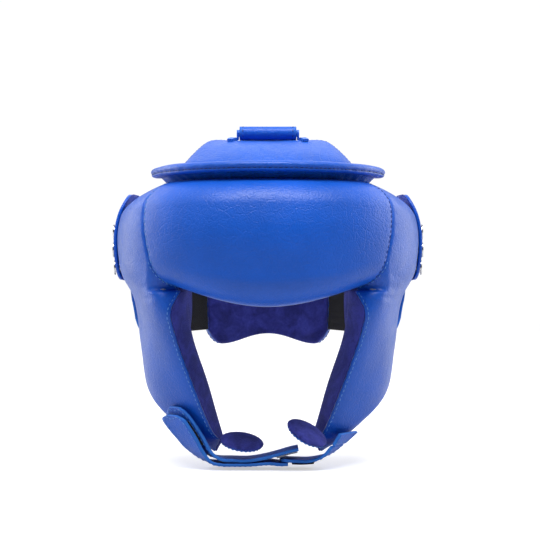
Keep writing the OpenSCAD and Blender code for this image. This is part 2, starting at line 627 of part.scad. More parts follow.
module chin_strap_inner() color(blue)
    ribbon(inner_route, 24, chin_strap_w, 0, strap_t, true, false);
module chin_inner_loop_tape() color(black)
    ribbon(inner_route, 8, chin_strap_w - 6, strap_t + 0.2, strap_t + 0.2 + tape_t,
        from = 0.1, to = 0.31);
module chin_inner_hook_tape() color(hook_grey)
    ribbon(inner_route, 6, chin_strap_w - 4, strap_t + 0.2, strap_t + 0.2 + tape_t,
        from = 0.84, to = 0.985);
module chin_strap_outer() color(blue)
    ribbon(outer_route, 22, chin_strap_w, 0, strap_t, true, false);
module chin_outer_hook_tape() color(hook_grey)
    ribbon(outer_route, 8, chin_strap_w - 7, -0.1 - tape_t, -0.1, from = 0.08, to = 0.34);
module chin_tab() color(blue)
    ribbon(tab_route, 12, chin_strap_w - 2, 0, strap_t, true, false);
module chin_tab_loop_tape() color(black)
    ribbon(tab_tape_route, 6, chin_strap_w - 6, 0, tape_t);
module chin_anchor() color(blue)
    ribbon(anchor_route, 6, chin_strap_w - 2, 0, strap_t);

// ---- nodes ----

cover_of(forehead);  // forehead_cover
foam_of(forehead, 1, len(forehead_v) - 2);  // forehead_foam
lining_of(forehead);  // forehead_lining
both_sides(false) side_cover();  // side_cover_right
both_sides(false) side_foam();  // side_foam_right
both_sides(false) cheek_foam();  // cheek_foam_right
both_sides(false) side_lining();  // side_lining_right
both_sides(true) side_cover();  // side_cover_left
both_sides(true) side_foam();  // side_foam_left
both_sides(true) cheek_foam();  // cheek_foam_left
both_sides(true) side_lining();  // side_lining_left
both_sides(false) ear_guard();  // ear_guard_right
both_sides(true) ear_guard();  // ear_guard_left
both_sides(false) ear_eyelets();  // ear_eyelets_right
both_sides(true) ear_eyelets();  // ear_eyelets_left
top_rim();
rim_gusset();
cover_of(crown_front);  // crown_front_cover
foam_of(crown_front, 1, len(flap_v) - 2);  // crown_front_foam
lining_of(crown_front);  // crown_front_lining
cover_of(crown_back);  // crown_back_cover
foam_of(crown_back, 1, len(flap_v) - 2);  // crown_back_foam
lining_of(crown_back);  // crown_back_lining
crown_keeper();
crown_strap_base();
crown_loop_tape();
crown_strap_end();
crown_hook_tape();
cover_of(back_pad);  // back_pad_cover
foam_of(back_pad, 1, len(back_v) - 2);  // back_pad_foam
lining_of(back_pad);  // back_pad_lining
back_strap_base();
both_sides(false) elastic();  // elastic_right
both_sides(true) elastic();  // elastic_left
both_sides(false) side_loop_tape();  // side_loop_tape_right
both_sides(true) side_loop_tape();  // side_loop_tape_left
both_sides(false) back_strap();  // back_strap_right
both_sides(false) back_hook_tape();  // back_hook_tape_right
both_sides(true) back_strap();  // back_strap_left
both_sides(true) back_hook_tape();  // back_hook_tape_left
at_right_flap() flap_cover();  // chin_flap_right_cover
at_right_flap() flap_foam();  // chin_flap_right_foam
at_right_flap() flap_suede();  // chin_flap_right_suede
at_left_flap() flap_cover();  // chin_flap_left_cover
at_left_flap() flap_foam();  // chin_flap_left_foam
at_left_flap() flap_suede();  // chin_flap_left_suede
chin_strap_inner();
chin_inner_loop_tape();
chin_inner_hook_tape();
chin_strap_outer();
chin_outer_hook_tape();
chin_tab();
chin_tab_loop_tape();
chin_anchor();
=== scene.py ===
# Boxing headgear: leather shell, suede linings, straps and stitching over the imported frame.
import math
import bpy
import bmesh
import numpy as np
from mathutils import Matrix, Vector, noise


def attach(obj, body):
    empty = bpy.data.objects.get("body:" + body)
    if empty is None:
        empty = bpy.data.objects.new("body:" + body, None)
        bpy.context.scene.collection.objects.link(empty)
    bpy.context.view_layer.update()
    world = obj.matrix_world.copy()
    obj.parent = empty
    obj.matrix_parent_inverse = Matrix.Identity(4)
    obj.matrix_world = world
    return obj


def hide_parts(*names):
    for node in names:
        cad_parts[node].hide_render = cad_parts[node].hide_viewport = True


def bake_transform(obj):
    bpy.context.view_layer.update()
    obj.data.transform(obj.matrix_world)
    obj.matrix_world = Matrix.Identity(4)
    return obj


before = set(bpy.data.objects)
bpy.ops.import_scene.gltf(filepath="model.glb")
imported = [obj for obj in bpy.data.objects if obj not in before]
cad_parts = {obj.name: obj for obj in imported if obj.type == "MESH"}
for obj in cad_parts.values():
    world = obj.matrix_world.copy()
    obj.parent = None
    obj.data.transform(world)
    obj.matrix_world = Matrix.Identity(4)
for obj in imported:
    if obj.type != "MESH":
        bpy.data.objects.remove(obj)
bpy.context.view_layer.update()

scene = bpy.context.scene

# ---- sizes in millimetres, the same as the frame's ----

head_w, head_l, head_h, chin_drop = 156, 195, 92, 146
forehead_t, side_t, back_t, crown_t = 29, 37.5, 22, 8
cover_t, lining_t, gap = 1.8, 1.5, 0.2
edge_t = cover_t + lining_t + gap
seam_top, seam_brow, pad_top, brow_end, brow_dip = 57, 44.5, 68, 12, 15
strap_t, tape_t = 2.2, 1.2
outer_x, outer_front, outer_back = head_w / 2 + side_t, head_l / 2 + forehead_t, head_l / 2 + back_t
crown_power = 2.3
ear_y, ear_z, vent_pitch, vent_r = 6, 6, 14, 4.6
vent_z = [ear_z + 10 + step * vent_pitch for step in (-1, 0, 1)]
MM = 0.001

# ---- smooth curves and the shell's form ----


def curve(table, x):
    """Value at x of a smooth curve through [key, value] pairs; values may be lists."""
    k = np.array([row[0] for row in table], float)
    v = np.array([row[1] for row in table], float)
    last = len(k) - 1
    m = np.array([(v[min(i + 1, last)] - v[max(i - 1, 0)]) / (k[min(i + 1, last)] - k[max(i - 1, 0)])
                  for i in range(last + 1)])
    x = np.clip(np.asarray(x, float), k[0], k[-1])
    i = np.clip(np.searchsorted(k, x, side="right") - 1, 0, last - 1)
    d = k[i + 1] - k[i]
    s = (x - k[i]) / d
    if v.ndim > 1:
        d, s = d[..., None], s[..., None]
    return (v[i] * (2 * s**3 - 3 * s**2 + 1) + v[i + 1] * (3 * s**2 - 2 * s**3)
            + m[i] * d * (s**3 - 2 * s**2 + s) + m[i + 1] * d * (s**3 - s**2))


def mix(a, b, t):
    return a + (b - a) * t


def ease(t):
    t = np.clip(t, 0, 1)
    return t * t * (3 - 2 * t)


def oval(a, x, front, back):
    a = np.radians(a)
    return 1 / np.sqrt((np.sin(a) / x) ** 2 + (np.cos(a) / np.where(np.cos(a) > 0, front, back)) ** 2)


def share(z):
    z = np.asarray(z, float)
    return np.where(z > 0, z / head_h, z / chin_drop)


def height_of(h):
    return np.where(h > 0, h * head_h, h * chin_drop)


JAW = [[-1, 0.53], [-0.86, 0.615], [-0.72, 0.69], [-0.58, 0.76], [-0.27, 0.945], [0, 1]]
FRONT_FORM = [[-1, 0.49], [-0.86, 0.645], [-0.72, 0.735], [-0.4, 0.875], [-0.18, 0.98],
              [0, 1], [0.35, 1], [0.69, 0.93]]
EAR_FORM = [[-1, 0.52], [-0.89, 0.66], [-0.77, 0.76], [-0.6, 0.83], [-0.42, 0.86], [-0.25, 0.885],
            [-0.13, 0.92], [-0.03, 0.99], [0.05, 1.01], [0.29, 1.02], [0.5, 0.985], [0.7, 0.89]]
BACK_FORM = [[-1, 0.5], [-0.7, 0.75], [-0.4, 0.91], [-0.2, 0.97], [0, 1], [0.35, 1], [0.69, 0.9]]


def head_r(a, z):
    h = share(z)
    top = (1 - np.clip(h, 0, 0.999) ** crown_power) ** (1 / crown_power)
    return oval(a, head_w / 2, head_l / 2, head_l / 2) * np.where(h < 0, curve(JAW, h), top)


def shell_r(a, z):
    h = share(z)
    to_ear, to_back = ease((a - 40) / 35), ease((a - 100) / 30)
    form = mix(mix(curve(FRONT_FORM, h), curve(EAR_FORM, h), to_ear), curve(BACK_FORM, h), to_back)
    return oval(a, outer_x, outer_front, outer_back) * form


def polar(a, r, z):
    a = np.radians(a)
    return np.stack([r * np.sin(a), -r * np.cos(a), z + 0 * a], -1)


def unit(v):
    return v / np.maximum(np.linalg.norm(v, axis=-1, keepdims=True), 1e-9)


def swell(d, r):
    t = 1 - np.clip(d / np.maximum(r, 1e-9), 0, 1)
    return np.sqrt(np.maximum(0, 1 - t * t))


def pad_pair(a, z, edges):
    """Inside and outside of a pad at angle a and height z; edges are (distance, radius, bias)."""
    r_in, r_out = head_r(a, z), shell_r(np.abs(a), z)
    g = [swell(d, r) for d, r, _ in edges]
    w = [1 - x + 0.0001 for x in g]
    bias = sum(wi * e[2] for wi, e in zip(w, edges)) / sum(w)
    full = g[0] * g[1] * g[2] * g[3]
    seam = mix(r_in + edge_t / 2, r_out - edge_t / 2, bias)
    return (polar(a, seam - edge_t / 2 + (r_in - seam + edge_t / 2) * full, z),
            polar(a, seam + edge_t / 2 + (r_out - seam - edge_t / 2) * full, z))


def seam_angle(z):
    return seam_brow + (seam_top - seam_brow) * (z + brow_end) / (pad_top + brow_end)


def forehead(u, v):
    brow = -brow_end - brow_dip * np.sin(np.pi * np.clip(u, 0, 1)) ** 1.3
    z = mix(brow, pad_top, v)
    half = seam_angle(z) - 0.12
    width = 2 * outer_front * math.pi * seam_angle(z) / 180
    height = pad_top - brow
    return pad_pair(mix(-half, half, u), z, [
        (u * width + 6, 9, 0.5), ((1 - u) * width + 6, 9, 0.5),
        (v * height, 20, 0.3), ((1 - v) * height, 20, 0.35)])


FREE_EDGE = 0.36
FRONT_EDGE = [[0, [seam_top, pad_top / head_h]], [0.36, [seam_brow, -0.085]],
              [0.4, [seam_brow - 3.9, -0.112]], [0.46, [40.2, -0.19]], [0.6, [40.3, -0.40]],
              [0.8, [35, -0.69]], [1, [31, -0.875]]]
REAR_EDGE = [[0, [134, 0.61]], [0.2, [137, 0.06]], [0.4, [134, -0.28]],
             [0.6, [113, -0.50]], [0.8, [82, -0.71]], [1, [46, -0.95]]]


def side_place(u, v):
    front, rear = curve(FRONT_EDGE, v), curve(REAR_EDGE, v)
    sewn = v < FREE_EDGE
    z_front = np.where(sewn, mix(pad_top, height_of(np.array(-0.085)), v / FREE_EDGE),
                       height_of(front[..., 1]))
    a_front = np.where(sewn, seam_angle(z_front), front[..., 0])
    return mix(a_front + 0.12, rear[..., 0], u), mix(z_front, height_of(rear[..., 1]), u)


def side(u, v):
    """The wearer's left side pad; u from its front to its rear edge, v from the top to the chin."""
    a, z = side_place(u, v)
    fa, fz = side_place(0 * u, v)
    ra, rz = side_place(0 * u + 1, v)
    radius = shell_r((fa + ra) / 2, z)
    across = np.hypot(np.radians(ra - fa) * radius, rz - fz)
    along = chin_drop + pad_top
    brow = np.where(v < FREE_EDGE, (20 - brow_end - fz) / 20, 1)
    nose = np.clip(brow, 0, 1) ** 1.4
    bias = mix(mix(0.5, 0.3, nose), 0.9, ease((v - FREE_EDGE) / 0.14))
    return pad_pair(a, z, [
        (u * across + mix(6, 0, nose), np.minimum(mix(9, 14, nose), 0.45 * across), bias),
        ((1 - u) * across, np.minimum(24, 0.45 * across), 0.3),
        (v * along, 20, 0.35), ((1 - v) * along, 12, 0.5)])


rim_reach, rim_x, rim_front = 84, head_w / 2 + 8, head_l / 2 + 3
rim_h, rim_d, rim_rise, rim_drop = 8, 13, 8.5, 1.5


def rim_z(a):
    return pad_top + rim_rise - rim_drop * (a / rim_reach) ** 2


def top_edge(a):
    return mix(pad_top, 0.61 * head_h, np.clip((np.abs(a) - seam_top) / (134 - seam_top), 0, 1))


crown_x, crown_y, crown_gap, crown_flare = head_w / 2 + 33, head_l / 2 + 24.5, 11, 11


def dome_z(x, y):
    q = np.minimum(0.98, np.hypot(x / crown_x, y / crown_y))
    return (head_h + 1) * (1 - q**crown_power) ** (1 / crown_power)


def dome_reach(z):
    return (1 - (z / (head_h + 1)) ** crown_power) ** (1 / crown_power)


back_top, back_low, back_half = 56, 57, 33
FRONT_PLAN = (60, rim_x - rim_d / 2 - 4.3, rim_front - rim_d / 2 - 4.3, 47, 1, crown_flare)
BACK_PLAN = (27, crown_x * dome_reach(back_top + 6), crown_y * dome_reach(back_top + 6), 30, -1, 0)


def flap(plan):
    spread, root_x, root_y, tip_w, way, flare = plan

    def pair(u, v):
        a = np.radians(mix(-spread, spread, u))
        root = np.stack([root_x * np.sin(a), -way * root_y * np.cos(a)], -1)
        tip = np.stack([mix(-tip_w, tip_w, u), -way * (crown_gap + 10 * np.abs(2 * u - 1) ** 4)], -1)
        p = mix(root, tip, v[..., None])
        full = swell(np.minimum(u, 1 - u) * 110, 12) * swell((1 - v) * 60, 12) * swell(v * 60 + 2, 9)
        z = dome_z(p[..., 0], p[..., 1]) + flare * (2 * u - 1) ** 2 * (1 - 0.45 * (2 * u - 1) ** 6) * v
        inner = np.stack([p[..., 0], p[..., 1], z], -1)
        lift = unit(inner * [0.6, 0.5, 1])
        return inner, inner + lift * (edge_t + (crown_t - edge_t) * full)[..., None]
    return pair


def back_pad(u, v):
    t = np.abs(2 * u - 1)
    low = (-back_low + 4 * np.cos(np.pi * np.minimum(1, t / 0.76))
           + 12 * ((t - 0.76).clip(0) / 0.24) ** 2.2)
    z = mix(low, back_top - 6 * np.abs(2 * u - 1) ** 3, v)
    half = back_half * (1 - 0.12 * v)
    width, height = 2 * half * math.pi / 180 * outer_back, back_low + back_top
    return pad_pair(180 + mix(-half, half, u), z, [
        (u * width, 18, 0.2), ((1 - u) * width, 18, 0.2),
        (v * height, 18, 0.35), ((1 - v) * height, 22, 0.2)])


# ---- closed pieces from grids of points ----


def eased_steps(n):
    """n + 1 steps from 0 to 1, closer together towards both ends."""
    t = np.linspace(0, 1, n + 1)
    return mix(t, 0.5 - 0.5 * np.cos(np.pi * t), 0.75)


def link(mesh, name, material, body, stands_for=()):
    obj = bpy.data.objects.new(name, mesh)
    scene.collection.objects.link(obj)
    mesh.materials.append(material)
    if body:
        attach(obj, body)
    if stands_for:
        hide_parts(*stands_for)
    return obj


def shell_mesh(name, outer, inner, bulge=0.3, closed=False):
    """A closed sheet between two grids, with a slightly rounded edge. closed joins the last column to the first."""
    rows, cols = outer.shape[:2]
    faces, face_uv = [], []

    def spot(i, j):
        return (j / max(cols - 1, 1), i / max(rows - 1, 1))

    def add(ids, spots):
        faces.append(ids)
        face_uv.extend(spots)
    count = rows * cols
    step = cols if closed else cols - 1
    for i in range(rows - 1):
        for j in range(step):
            k = (j + 1) % cols
            ids = [i * cols + j, i * cols + k, (i + 1) * cols + k, (i + 1) * cols + j]
            spots = [spot(i, j), spot(i, j + 1), spot(i + 1, j + 1), spot(i + 1, j)]
            add(ids, spots)
            add([count + q for q in reversed(ids)], spots[::-1])
    if closed:
        edge = [[(0, j) for j in range(cols)], [(rows - 1, j) for j in reversed(range(cols))]]
    else:
        edge = [[(0, j) for j in range(cols)] + [(i, cols - 1) for i in range(1, rows)]
                + [(rows - 1, j) for j in reversed(range(cols - 1))]
                + [(i, 0) for i in reversed(range(1, rows - 1))]]
    extra = []
    for loop in edge:
        def inward(i, j):
            return (min(max(i, 1), rows - 2), j if closed else min(max(j, 1), cols - 2))
        middle = []
        for i, j in loop:
            a, b = outer[i, j], inner[i, j]
            p, q = inward(i, j)
            away = unit((a + b) / 2 - (outer[p, q] + inner[p, q]) / 2)
            middle.append(len(extra) + 2 * count)
            extra.append((a + b) / 2 + away * bulge)
        n = len(loop)
        for t in range(n):
            s = (t + 1) % n
            (i, j), (k, l) = loop[t], loop[s]
            top, top2 = i * cols + j, k * cols + l
            spots = [spot(i, j), spot(k, l), spot(k, l), spot(i, j)]
            add([top2, top, middle[t], middle[s]], spots)
            add([middle[s], middle[t], count + top, count + top2], spots)
    points = np.concatenate([outer.reshape(-1, 3), inner.reshape(-1, 3), np.array(extra)]) * MM
    mesh = bpy.data.meshes.new(name)
    mesh.from_pydata(points.tolist(), [], faces)
    layer = mesh.uv_layers.new(name="UVMap")
    layer.data.foreach_set("uv", np.array(face_uv, np.float32).ravel())
    tidy_faces(mesh)
    return mesh


def tidy_faces(mesh):
    """Faces outwards and smooth."""
    bm = bmesh.new()
    bm.from_mesh(mesh)
    bmesh.ops.recalc_face_normals(bm, faces=bm.faces)
    bm.to_mesh(mesh)
    bm.free()
    mesh.polygons.foreach_set("use_smooth", [True] * len(mesh.polygons))


def ripple(points, size, amount, seed=0.0):
    """Soft unevenness of a padded surface, as a length for every point."""
    flat = points.reshape(-1, 3)
    move = [noise.noise(Vector(p / size) + Vector((seed, seed * 1.7, 0))) for p in flat]
    return (np.array(move) * amount).reshape(points.shape[:-1])


def puckers(along, away, period, depth, reach):
    """Small gathers beside a seam: depth at each stitch, dying out over reach."""
    return depth * (0.5 - 0.5 * np.cos(2 * np.pi * along / period)) * np.exp(-(away / reach) ** 2)


def arc(points, axis):
    """Length run along a grid's rows or columns, in millimetres."""
    d = np.linalg.norm(np.diff(points, axis=axis), axis=-1)
    total = np.cumsum(d, axis=axis)
    return np.concatenate([np.zeros_like(np.take(total, [0], axis=axis)), total], axis=axis)


def layers(pair, us, vs, slack=0.5, depth=0.45, seed=0.0, crease=None):
    """Outside and inside skins of a pad, with gathers at its seams and a little slack."""
    u, v = np.meshgrid(us, vs)
    inner, outer = pair(u, v)
    du, dv = arc(outer, 1), arc(outer, 0)
    sides = [(dv, du), (dv, du[:, -1:] - du), (du, dv), (du, dv[-1:] - dv)]
    drop = sum(puckers(along + 2.1 * np.sin(along / 17), away, 9, depth, 5) for along, away in sides)
    edge = np.minimum.reduce([away for _, away in sides])
    soft = 1 - np.exp(-(edge / 9) ** 2)
    out = unit(outer - inner)
    drop = drop - ripple(outer, 34, slack, seed) * soft
    if crease is not None:
        drop = drop + crease(u, v, outer) * (1 - np.exp(-(edge / 2.5) ** 2))
    return (outer - out * drop[..., None],
            inner + out * (ripple(inner, 22, 0.35, seed + 5) * soft)[..., None], out)


# ---- material building blocks ----


def node_group(name, inputs, outputs):
    """A reusable effect. inputs are (name, kind, value) and outputs (name, kind)."""
    group = bpy.data.node_groups.new(name, "ShaderNodeTree")
    for label, kind, value in inputs:
        socket = group.interface.new_socket(label, in_out="INPUT", socket_type=kind)
        if value is not None:
            socket.default_value = value
    for label, kind in outputs:
        group.interface.new_socket(label, in_out="OUTPUT", socket_type=kind)
    return group, group.nodes.new("NodeGroupInput"), group.nodes.new("NodeGroupOutput")


class Net:
    """Short names for building a node tree."""

    def __init__(self, tree):
        self.tree = tree

    def node(self, kind, **values):
        made = self.tree.nodes.new(kind)
        for key, value in values.items():
            setattr(made, key, value)
        return made

    def join(self, a, b):
        self.tree.links.new(a, b)

    def texture(self, kind, where, scale, detail=None, **values):
        made = self.node(kind, **values)
        made.inputs["Scale"].default_value = scale
        if detail:
            made.inputs["Detail"].default_value = detail
        self.join(where, made.inputs["Vector"])
        return made

    def math(self, how, a, b=None, clamp=False):
        made = self.node("ShaderNodeMath", operation=how, use_clamp=clamp)
        for socket, value in zip(made.inputs, (a, b)):
            if isinstance(value, (int, float)):
                socket.default_value = value
            elif value is not None:
                self.join(value, socket)
        return made.outputs[0]

    def spread(self, value, low, high, to_low=0.0, to_high=1.0):
        made = self.node("ShaderNodeMapRange")
        self.join(value, made.inputs["Value"])
        for key, number in (("From Min", low), ("From Max", high),
                            ("To Min", to_low), ("To Max", to_high)):
            made.inputs[key].default_value = number
        return made.outputs["Result"]

    def blend(self, how, share_of, a, b):
        made = self.node("ShaderNodeMix", data_type="RGBA", blend_type=how)
        for key, value in ((0, share_of), (6, a), (7, b)):
            if isinstance(value, (int, float)):
                made.inputs[key].default_value = value
            elif isinstance(value, (tuple, list)):
                made.inputs[key].default_value = (*value, 1) if len(value) == 3 else value
            else:
                self.join(value, made.inputs[key])
        return made.outputs[2]


def leather_group():
    """Fine pebbled grain, soft creases and slow shifts of shade, in object space."""
    group, source, result = node_group("leather_surface", [
        ("Colour", "NodeSocketColor", (0, 0.1, 0.6, 1)), ("Grain", "NodeSocketFloat", 1.0),
        ("Creases", "NodeSocketFloat", 0.3), ("Roughness", "NodeSocketFloat", 0.4)],
        [("Colour", "NodeSocketColor"), ("Roughness", "NodeSocketFloat"), ("Height", "NodeSocketFloat")])
    n = Net(group)
    where = n.node("ShaderNodeTexCoord").outputs["Object"]
    pebble = n.texture("ShaderNodeTexVoronoi", where, 820, feature="SMOOTH_F1")
    fine = n.texture("ShaderNodeTexNoise", where, 2600, 3)
    crease = n.texture("ShaderNodeTexVoronoi", where, 150, feature="DISTANCE_TO_EDGE")
    warp = n.texture("ShaderNodeTexNoise", where, 60)
    moved = n.node("ShaderNodeVectorMath", operation="ADD")
    n.join(where, moved.inputs[0])
    shift = n.node("ShaderNodeVectorMath", operation="SCALE")
    n.join(warp.outputs["Color"], shift.inputs[0])
    shift.inputs["Scale"].default_value = 0.012
    n.join(shift.outputs[0], moved.inputs[1])
    n.join(moved.outputs[0], crease.inputs["Vector"])
    lines = n.spread(crease.outputs["Distance"], 0.0, 0.07, -1, 0)
    slow = n.texture("ShaderNodeTexNoise", where, 22, 2)
    patches = n.texture("ShaderNodeTexNoise", where, 90)
    grain = n.math("ADD", n.math("MULTIPLY", pebble.outputs["Distance"], 0.75),
                   n.math("MULTIPLY", fine.outputs["Fac"], 0.35))
    height = n.math("ADD", n.math("MULTIPLY", grain, source.outputs["Grain"]),
                    n.math("MULTIPLY", lines, source.outputs["Creases"]))
    n.join(height, result.inputs["Height"])
    shade = n.spread(slow.outputs["Fac"], 0.3, 0.7, 0.90, 1.08)
    shade = n.math("MULTIPLY", shade, n.spread(pebble.outputs["Distance"], 0.0, 0.6, 1.03, 0.94))
    tint = n.node("ShaderNodeHueSaturation")
    n.join(source.outputs["Colour"], tint.inputs["Color"])
    n.join(shade, tint.inputs["Value"])
    n.join(tint.outputs[0], result.inputs["Colour"])
    rough = n.math("ADD", source.outputs["Roughness"],
                   n.spread(patches.outputs["Fac"], 0.3, 0.7, -0.035, 0.045))
    rough = n.math("ADD", rough, n.spread(pebble.outputs["Distance"], 0.0, 0.6, -0.02, 0.03))
    n.join(rough, result.inputs["Roughness"])
    return group


def nap_group():
    """Brushed suede: short directionless nap with darker and lighter strokes."""
    group, source, result = node_group("suede_surface", [
        ("Colour", "NodeSocketColor", (0.05, 0.04, 0.3, 1))],
        [("Colour", "NodeSocketColor"), ("Height", "NodeSocketFloat")])
    n = Net(group)
    where = n.node("ShaderNodeTexCoord").outputs["Object"]
    fibre = n.texture("ShaderNodeTexNoise", where, 3200, 4)
    fibre.inputs["Roughness"].default_value = 0.7
    tuft = n.texture("ShaderNodeTexNoise", where, 520, 3)
    stroke = n.texture("ShaderNodeTexNoise", where, 70, 3)
    stroke.inputs["Distortion"].default_value = 1.2
    shade = n.math("MULTIPLY", n.spread(stroke.outputs["Fac"], 0.35, 0.65, 0.72, 1.3),
                   n.spread(tuft.outputs["Fac"], 0.3, 0.7, 0.86, 1.16))
    shade = n.math("MULTIPLY", shade, n.spread(fibre.outputs["Fac"], 0.35, 0.65, 0.88, 1.14))
    tint = n.node("ShaderNodeHueSaturation")
    n.join(source.outputs["Colour"], tint.inputs["Color"])
    n.join(shade, tint.inputs["Value"])
    n.join(tint.outputs[0], result.inputs["Colour"])
    n.join(n.math("ADD", n.math("MULTIPLY", fibre.outputs["Fac"], 0.6),
                  n.math("MULTIPLY", tuft.outputs["Fac"], 0.7)), result.inputs["Height"])
    return group


def new_material(name):
    material = bpy.data.materials.new(name)
    material.use_nodes = True
    n = Net(material.node_tree)
    shader = material.node_tree.nodes["Principled BSDF"]
    return material, n, shader


def settle(shader, values):
    for label, value in values.items():
        shader.inputs[label].default_value = value


def bump(n, shader, height, strength, distance):
    made = n.node("ShaderNodeBump")
    made.inputs["Strength"].default_value = strength
    made.inputs["Distance"].default_value = distance
    n.join(height, made.inputs["Height"])
    n.join(made.outputs["Normal"], shader.inputs["Normal"])


leather_surface, suede_surface = leather_group(), nap_group()


def leather(name, colour, grain=1.0, creases=0.35, rough=0.36, strength=0.7, coat=0.08, worn=None):
    """Finished leather. worn is a paler colour that shows along the edges."""
    material, n, shader = new_material(name)
    use = n.node("ShaderNodeGroup", node_tree=leather_surface)
    use.inputs["Colour"].default_value = (*colour, 1)
    use.inputs["Grain"].default_value = grain
    use.inputs["Creases"].default_value = creases
    use.inputs["Roughness"].default_value = rough
    out = use.outputs["Colour"]
    if worn:
        point = n.node("ShaderNodeNewGeometry").outputs["Pointiness"]
        out = n.blend("MIX", n.spread(point, 0.52, 0.60, 0, 0.55), out, worn)
    n.join(out, shader.inputs["Base Color"])
    n.join(use.outputs["Roughness"], shader.inputs["Roughness"])
    bump(n, shader, use.outputs["Height"], strength, 0.0004)
    settle(shader, {"Specular IOR Level": 0.34, "Coat Weight": coat, "Coat Roughness": 0.32,
                    "Sheen Weight": 0.01, "Sheen Roughness": 0.45, "Sheen Tint": (0.8, 0.85, 1, 1)})
    return material


def suede(name, colour):
    material, n, shader = new_material(name)
    use = n.node("ShaderNodeGroup", node_tree=suede_surface)
    use.inputs["Colour"].default_value = (*colour, 1)
    n.join(use.outputs["Colour"], shader.inputs["Base Color"])
    bump(n, shader, use.outputs["Height"], 0.6, 0.0006)
    settle(shader, {"Roughness": 0.95, "Specular IOR Level": 0.15, "Sheen Weight": 0.35,
                    "Sheen Roughness": 0.5, "Sheen Tint": (0.36, 0.4, 1, 1)})
    return material


def woven(name, colour, pale, ribs, across, rough=0.75):
    """Ribbed elastic or tape: warp ribs along it and fine weft picks across."""
    material, n, shader = new_material(name)
    where = n.node("ShaderNodeTexCoord").outputs["UV"]
    warp = n.texture("ShaderNodeTexWave", where, ribs, wave_type="BANDS", bands_direction="X")
    weft = n.texture("ShaderNodeTexWave", where, across, wave_type="BANDS", bands_direction="Y")
    warp.inputs["Distortion"].default_value = 0.3
    weft.inputs["Distortion"].default_value = 0.4
    fuzz = n.texture("ShaderNodeTexNoise", n.node("ShaderNodeTexCoord").outputs["Object"], 1800)
    weave = n.math("MULTIPLY", warp.outputs["Fac"], n.spread(weft.outputs["Fac"], 0, 1, 0.5, 1))
    shade = n.math("MULTIPLY", weave, n.spread(fuzz.outputs["Fac"], 0.3, 0.7, 0.7, 1.2))
    n.join(n.blend("MIX", shade, colour, pale), shader.inputs["Base Color"])
    settle(shader, {"Roughness": rough, "Specular IOR Level": 0.25, "Sheen Weight": 0.15})
    bump(n, shader, weave, 0.7, 0.0004)
    return material


def pile(name, colour, pale, scale, rough):
    """Hook or loop tape: a dense field of tiny tufts."""
    material, n, shader = new_material(name)
    where = n.node("ShaderNodeTexCoord").outputs["Object"]
    tufts = n.texture("ShaderNodeTexVoronoi", where, scale)
    fuzz = n.texture("ShaderNodeTexNoise", where, scale * 2.4)
    shade = n.math("MULTIPLY", n.spread(tufts.outputs["Distance"], 0.05, 0.5, 1, 0),
                   n.spread(fuzz.outputs["Fac"], 0.3, 0.7, 0.6, 1.1))
    n.join(n.blend("MIX", shade, colour, pale), shader.inputs["Base Color"])
    settle(shader, {"Roughness": rough, "Specular IOR Level": 0.3, "Sheen Weight": 0.25})
    bump(n, shader, shade, 0.9, 0.0007)
    return material


def thread(name, colour):
    """Twisted sewing thread."""
    material, n, shader = new_material(name)
    where = n.node("ShaderNodeTexCoord").outputs["Object"]
    twist = n.texture("ShaderNodeTexWave", where, 900, wave_type="BANDS", bands_direction="DIAGONAL")
    fuzz = n.texture("ShaderNodeTexNoise", where, 2500)
    dark = tuple(0.55 * c for c in colour)
    shade = n.math("MULTIPLY", twist.outputs["Fac"], n.spread(fuzz.outputs["Fac"], 0.3, 0.7, 0.8, 1.2))
    n.join(n.blend("MIX", shade, dark, colour), shader.inputs["Base Color"])
    shader.inputs["Roughness"].default_value = 0.55
    bump(n, shader, twist.outputs["Fac"], 0.4, 0.0002)
    return material


def foam(name, colour):
    material, n, shader = new_material(name)
    where = n.node("ShaderNodeTexCoord").outputs["Object"]
    cells = n.texture("ShaderNodeTexVoronoi", where, 900)
    mottle = n.texture("ShaderNodeTexNoise", where, 60)
    pale = tuple(min(1, 1.35 * c) for c in colour)
    n.join(n.blend("MIX", n.spread(mottle.outputs["Fac"], 0.3, 0.7), colour, pale),
           shader.inputs["Base Color"])
    shader.inputs["Roughness"].default_value = 0.9
    bump(n, shader, cells.outputs["Distance"], 0.6, 0.0006)
    return material


def metal(name, colour):
    material, n, shader = new_material(name)
    where = n.node("ShaderNodeTexCoord").outputs["Object"]
    rub = n.texture("ShaderNodeTexNoise", where, 700, 5)
    smear = n.texture("ShaderNodeTexNoise", where, 90)
    n.join(n.blend("MIX", n.spread(smear.outputs["Fac"], 0.35, 0.65), tuple(0.85 * c for c in colour), colour),
           shader.inputs["Base Color"])
    n.join(n.spread(rub.outputs["Fac"], 0.3, 0.7, 0.16, 0.34), shader.inputs["Roughness"])
    shader.inputs["Metallic"].default_value = 1
    bump(n, shader, rub.outputs["Fac"], 0.15, 0.0001)
    return material


BLUE = (0.003, 0.090, 0.54)
PALE_BLUE = (0.05, 0.22, 0.74)
hide = leather("blue_leather", BLUE)
crinkled = leather("soft_blue_leather", (0.004, 0.10, 0.58), grain=0.9, creases=0.9, strength=0.7)
strap_hide = leather("strap_leather", (0.004, 0.105, 0.60), grain=1.1, creases=0.4, worn=PALE_BLUE)
cut_edge = leather("cut_leather_edge", (0.02, 0.17, 0.66), grain=0.6, creases=0.1, rough=0.6, coat=0.0)
purple = suede("indigo_suede", (0.034, 0.040, 0.26))
band = woven("black_elastic", (0.002, 0.002, 0.003), (0.016, 0.016, 0.02), 12, 40)
loops = pile("black_loop_tape", (0.002, 0.002, 0.003), (0.03, 0.03, 0.035), 1500, 0.95)
hooks = pile("grey_hook_tape", (0.3, 0.31, 0.33), (0.85, 0.86, 0.88), 900, 0.5)
light_thread = thread("light_blue_thread", (0.12, 0.36, 0.86))
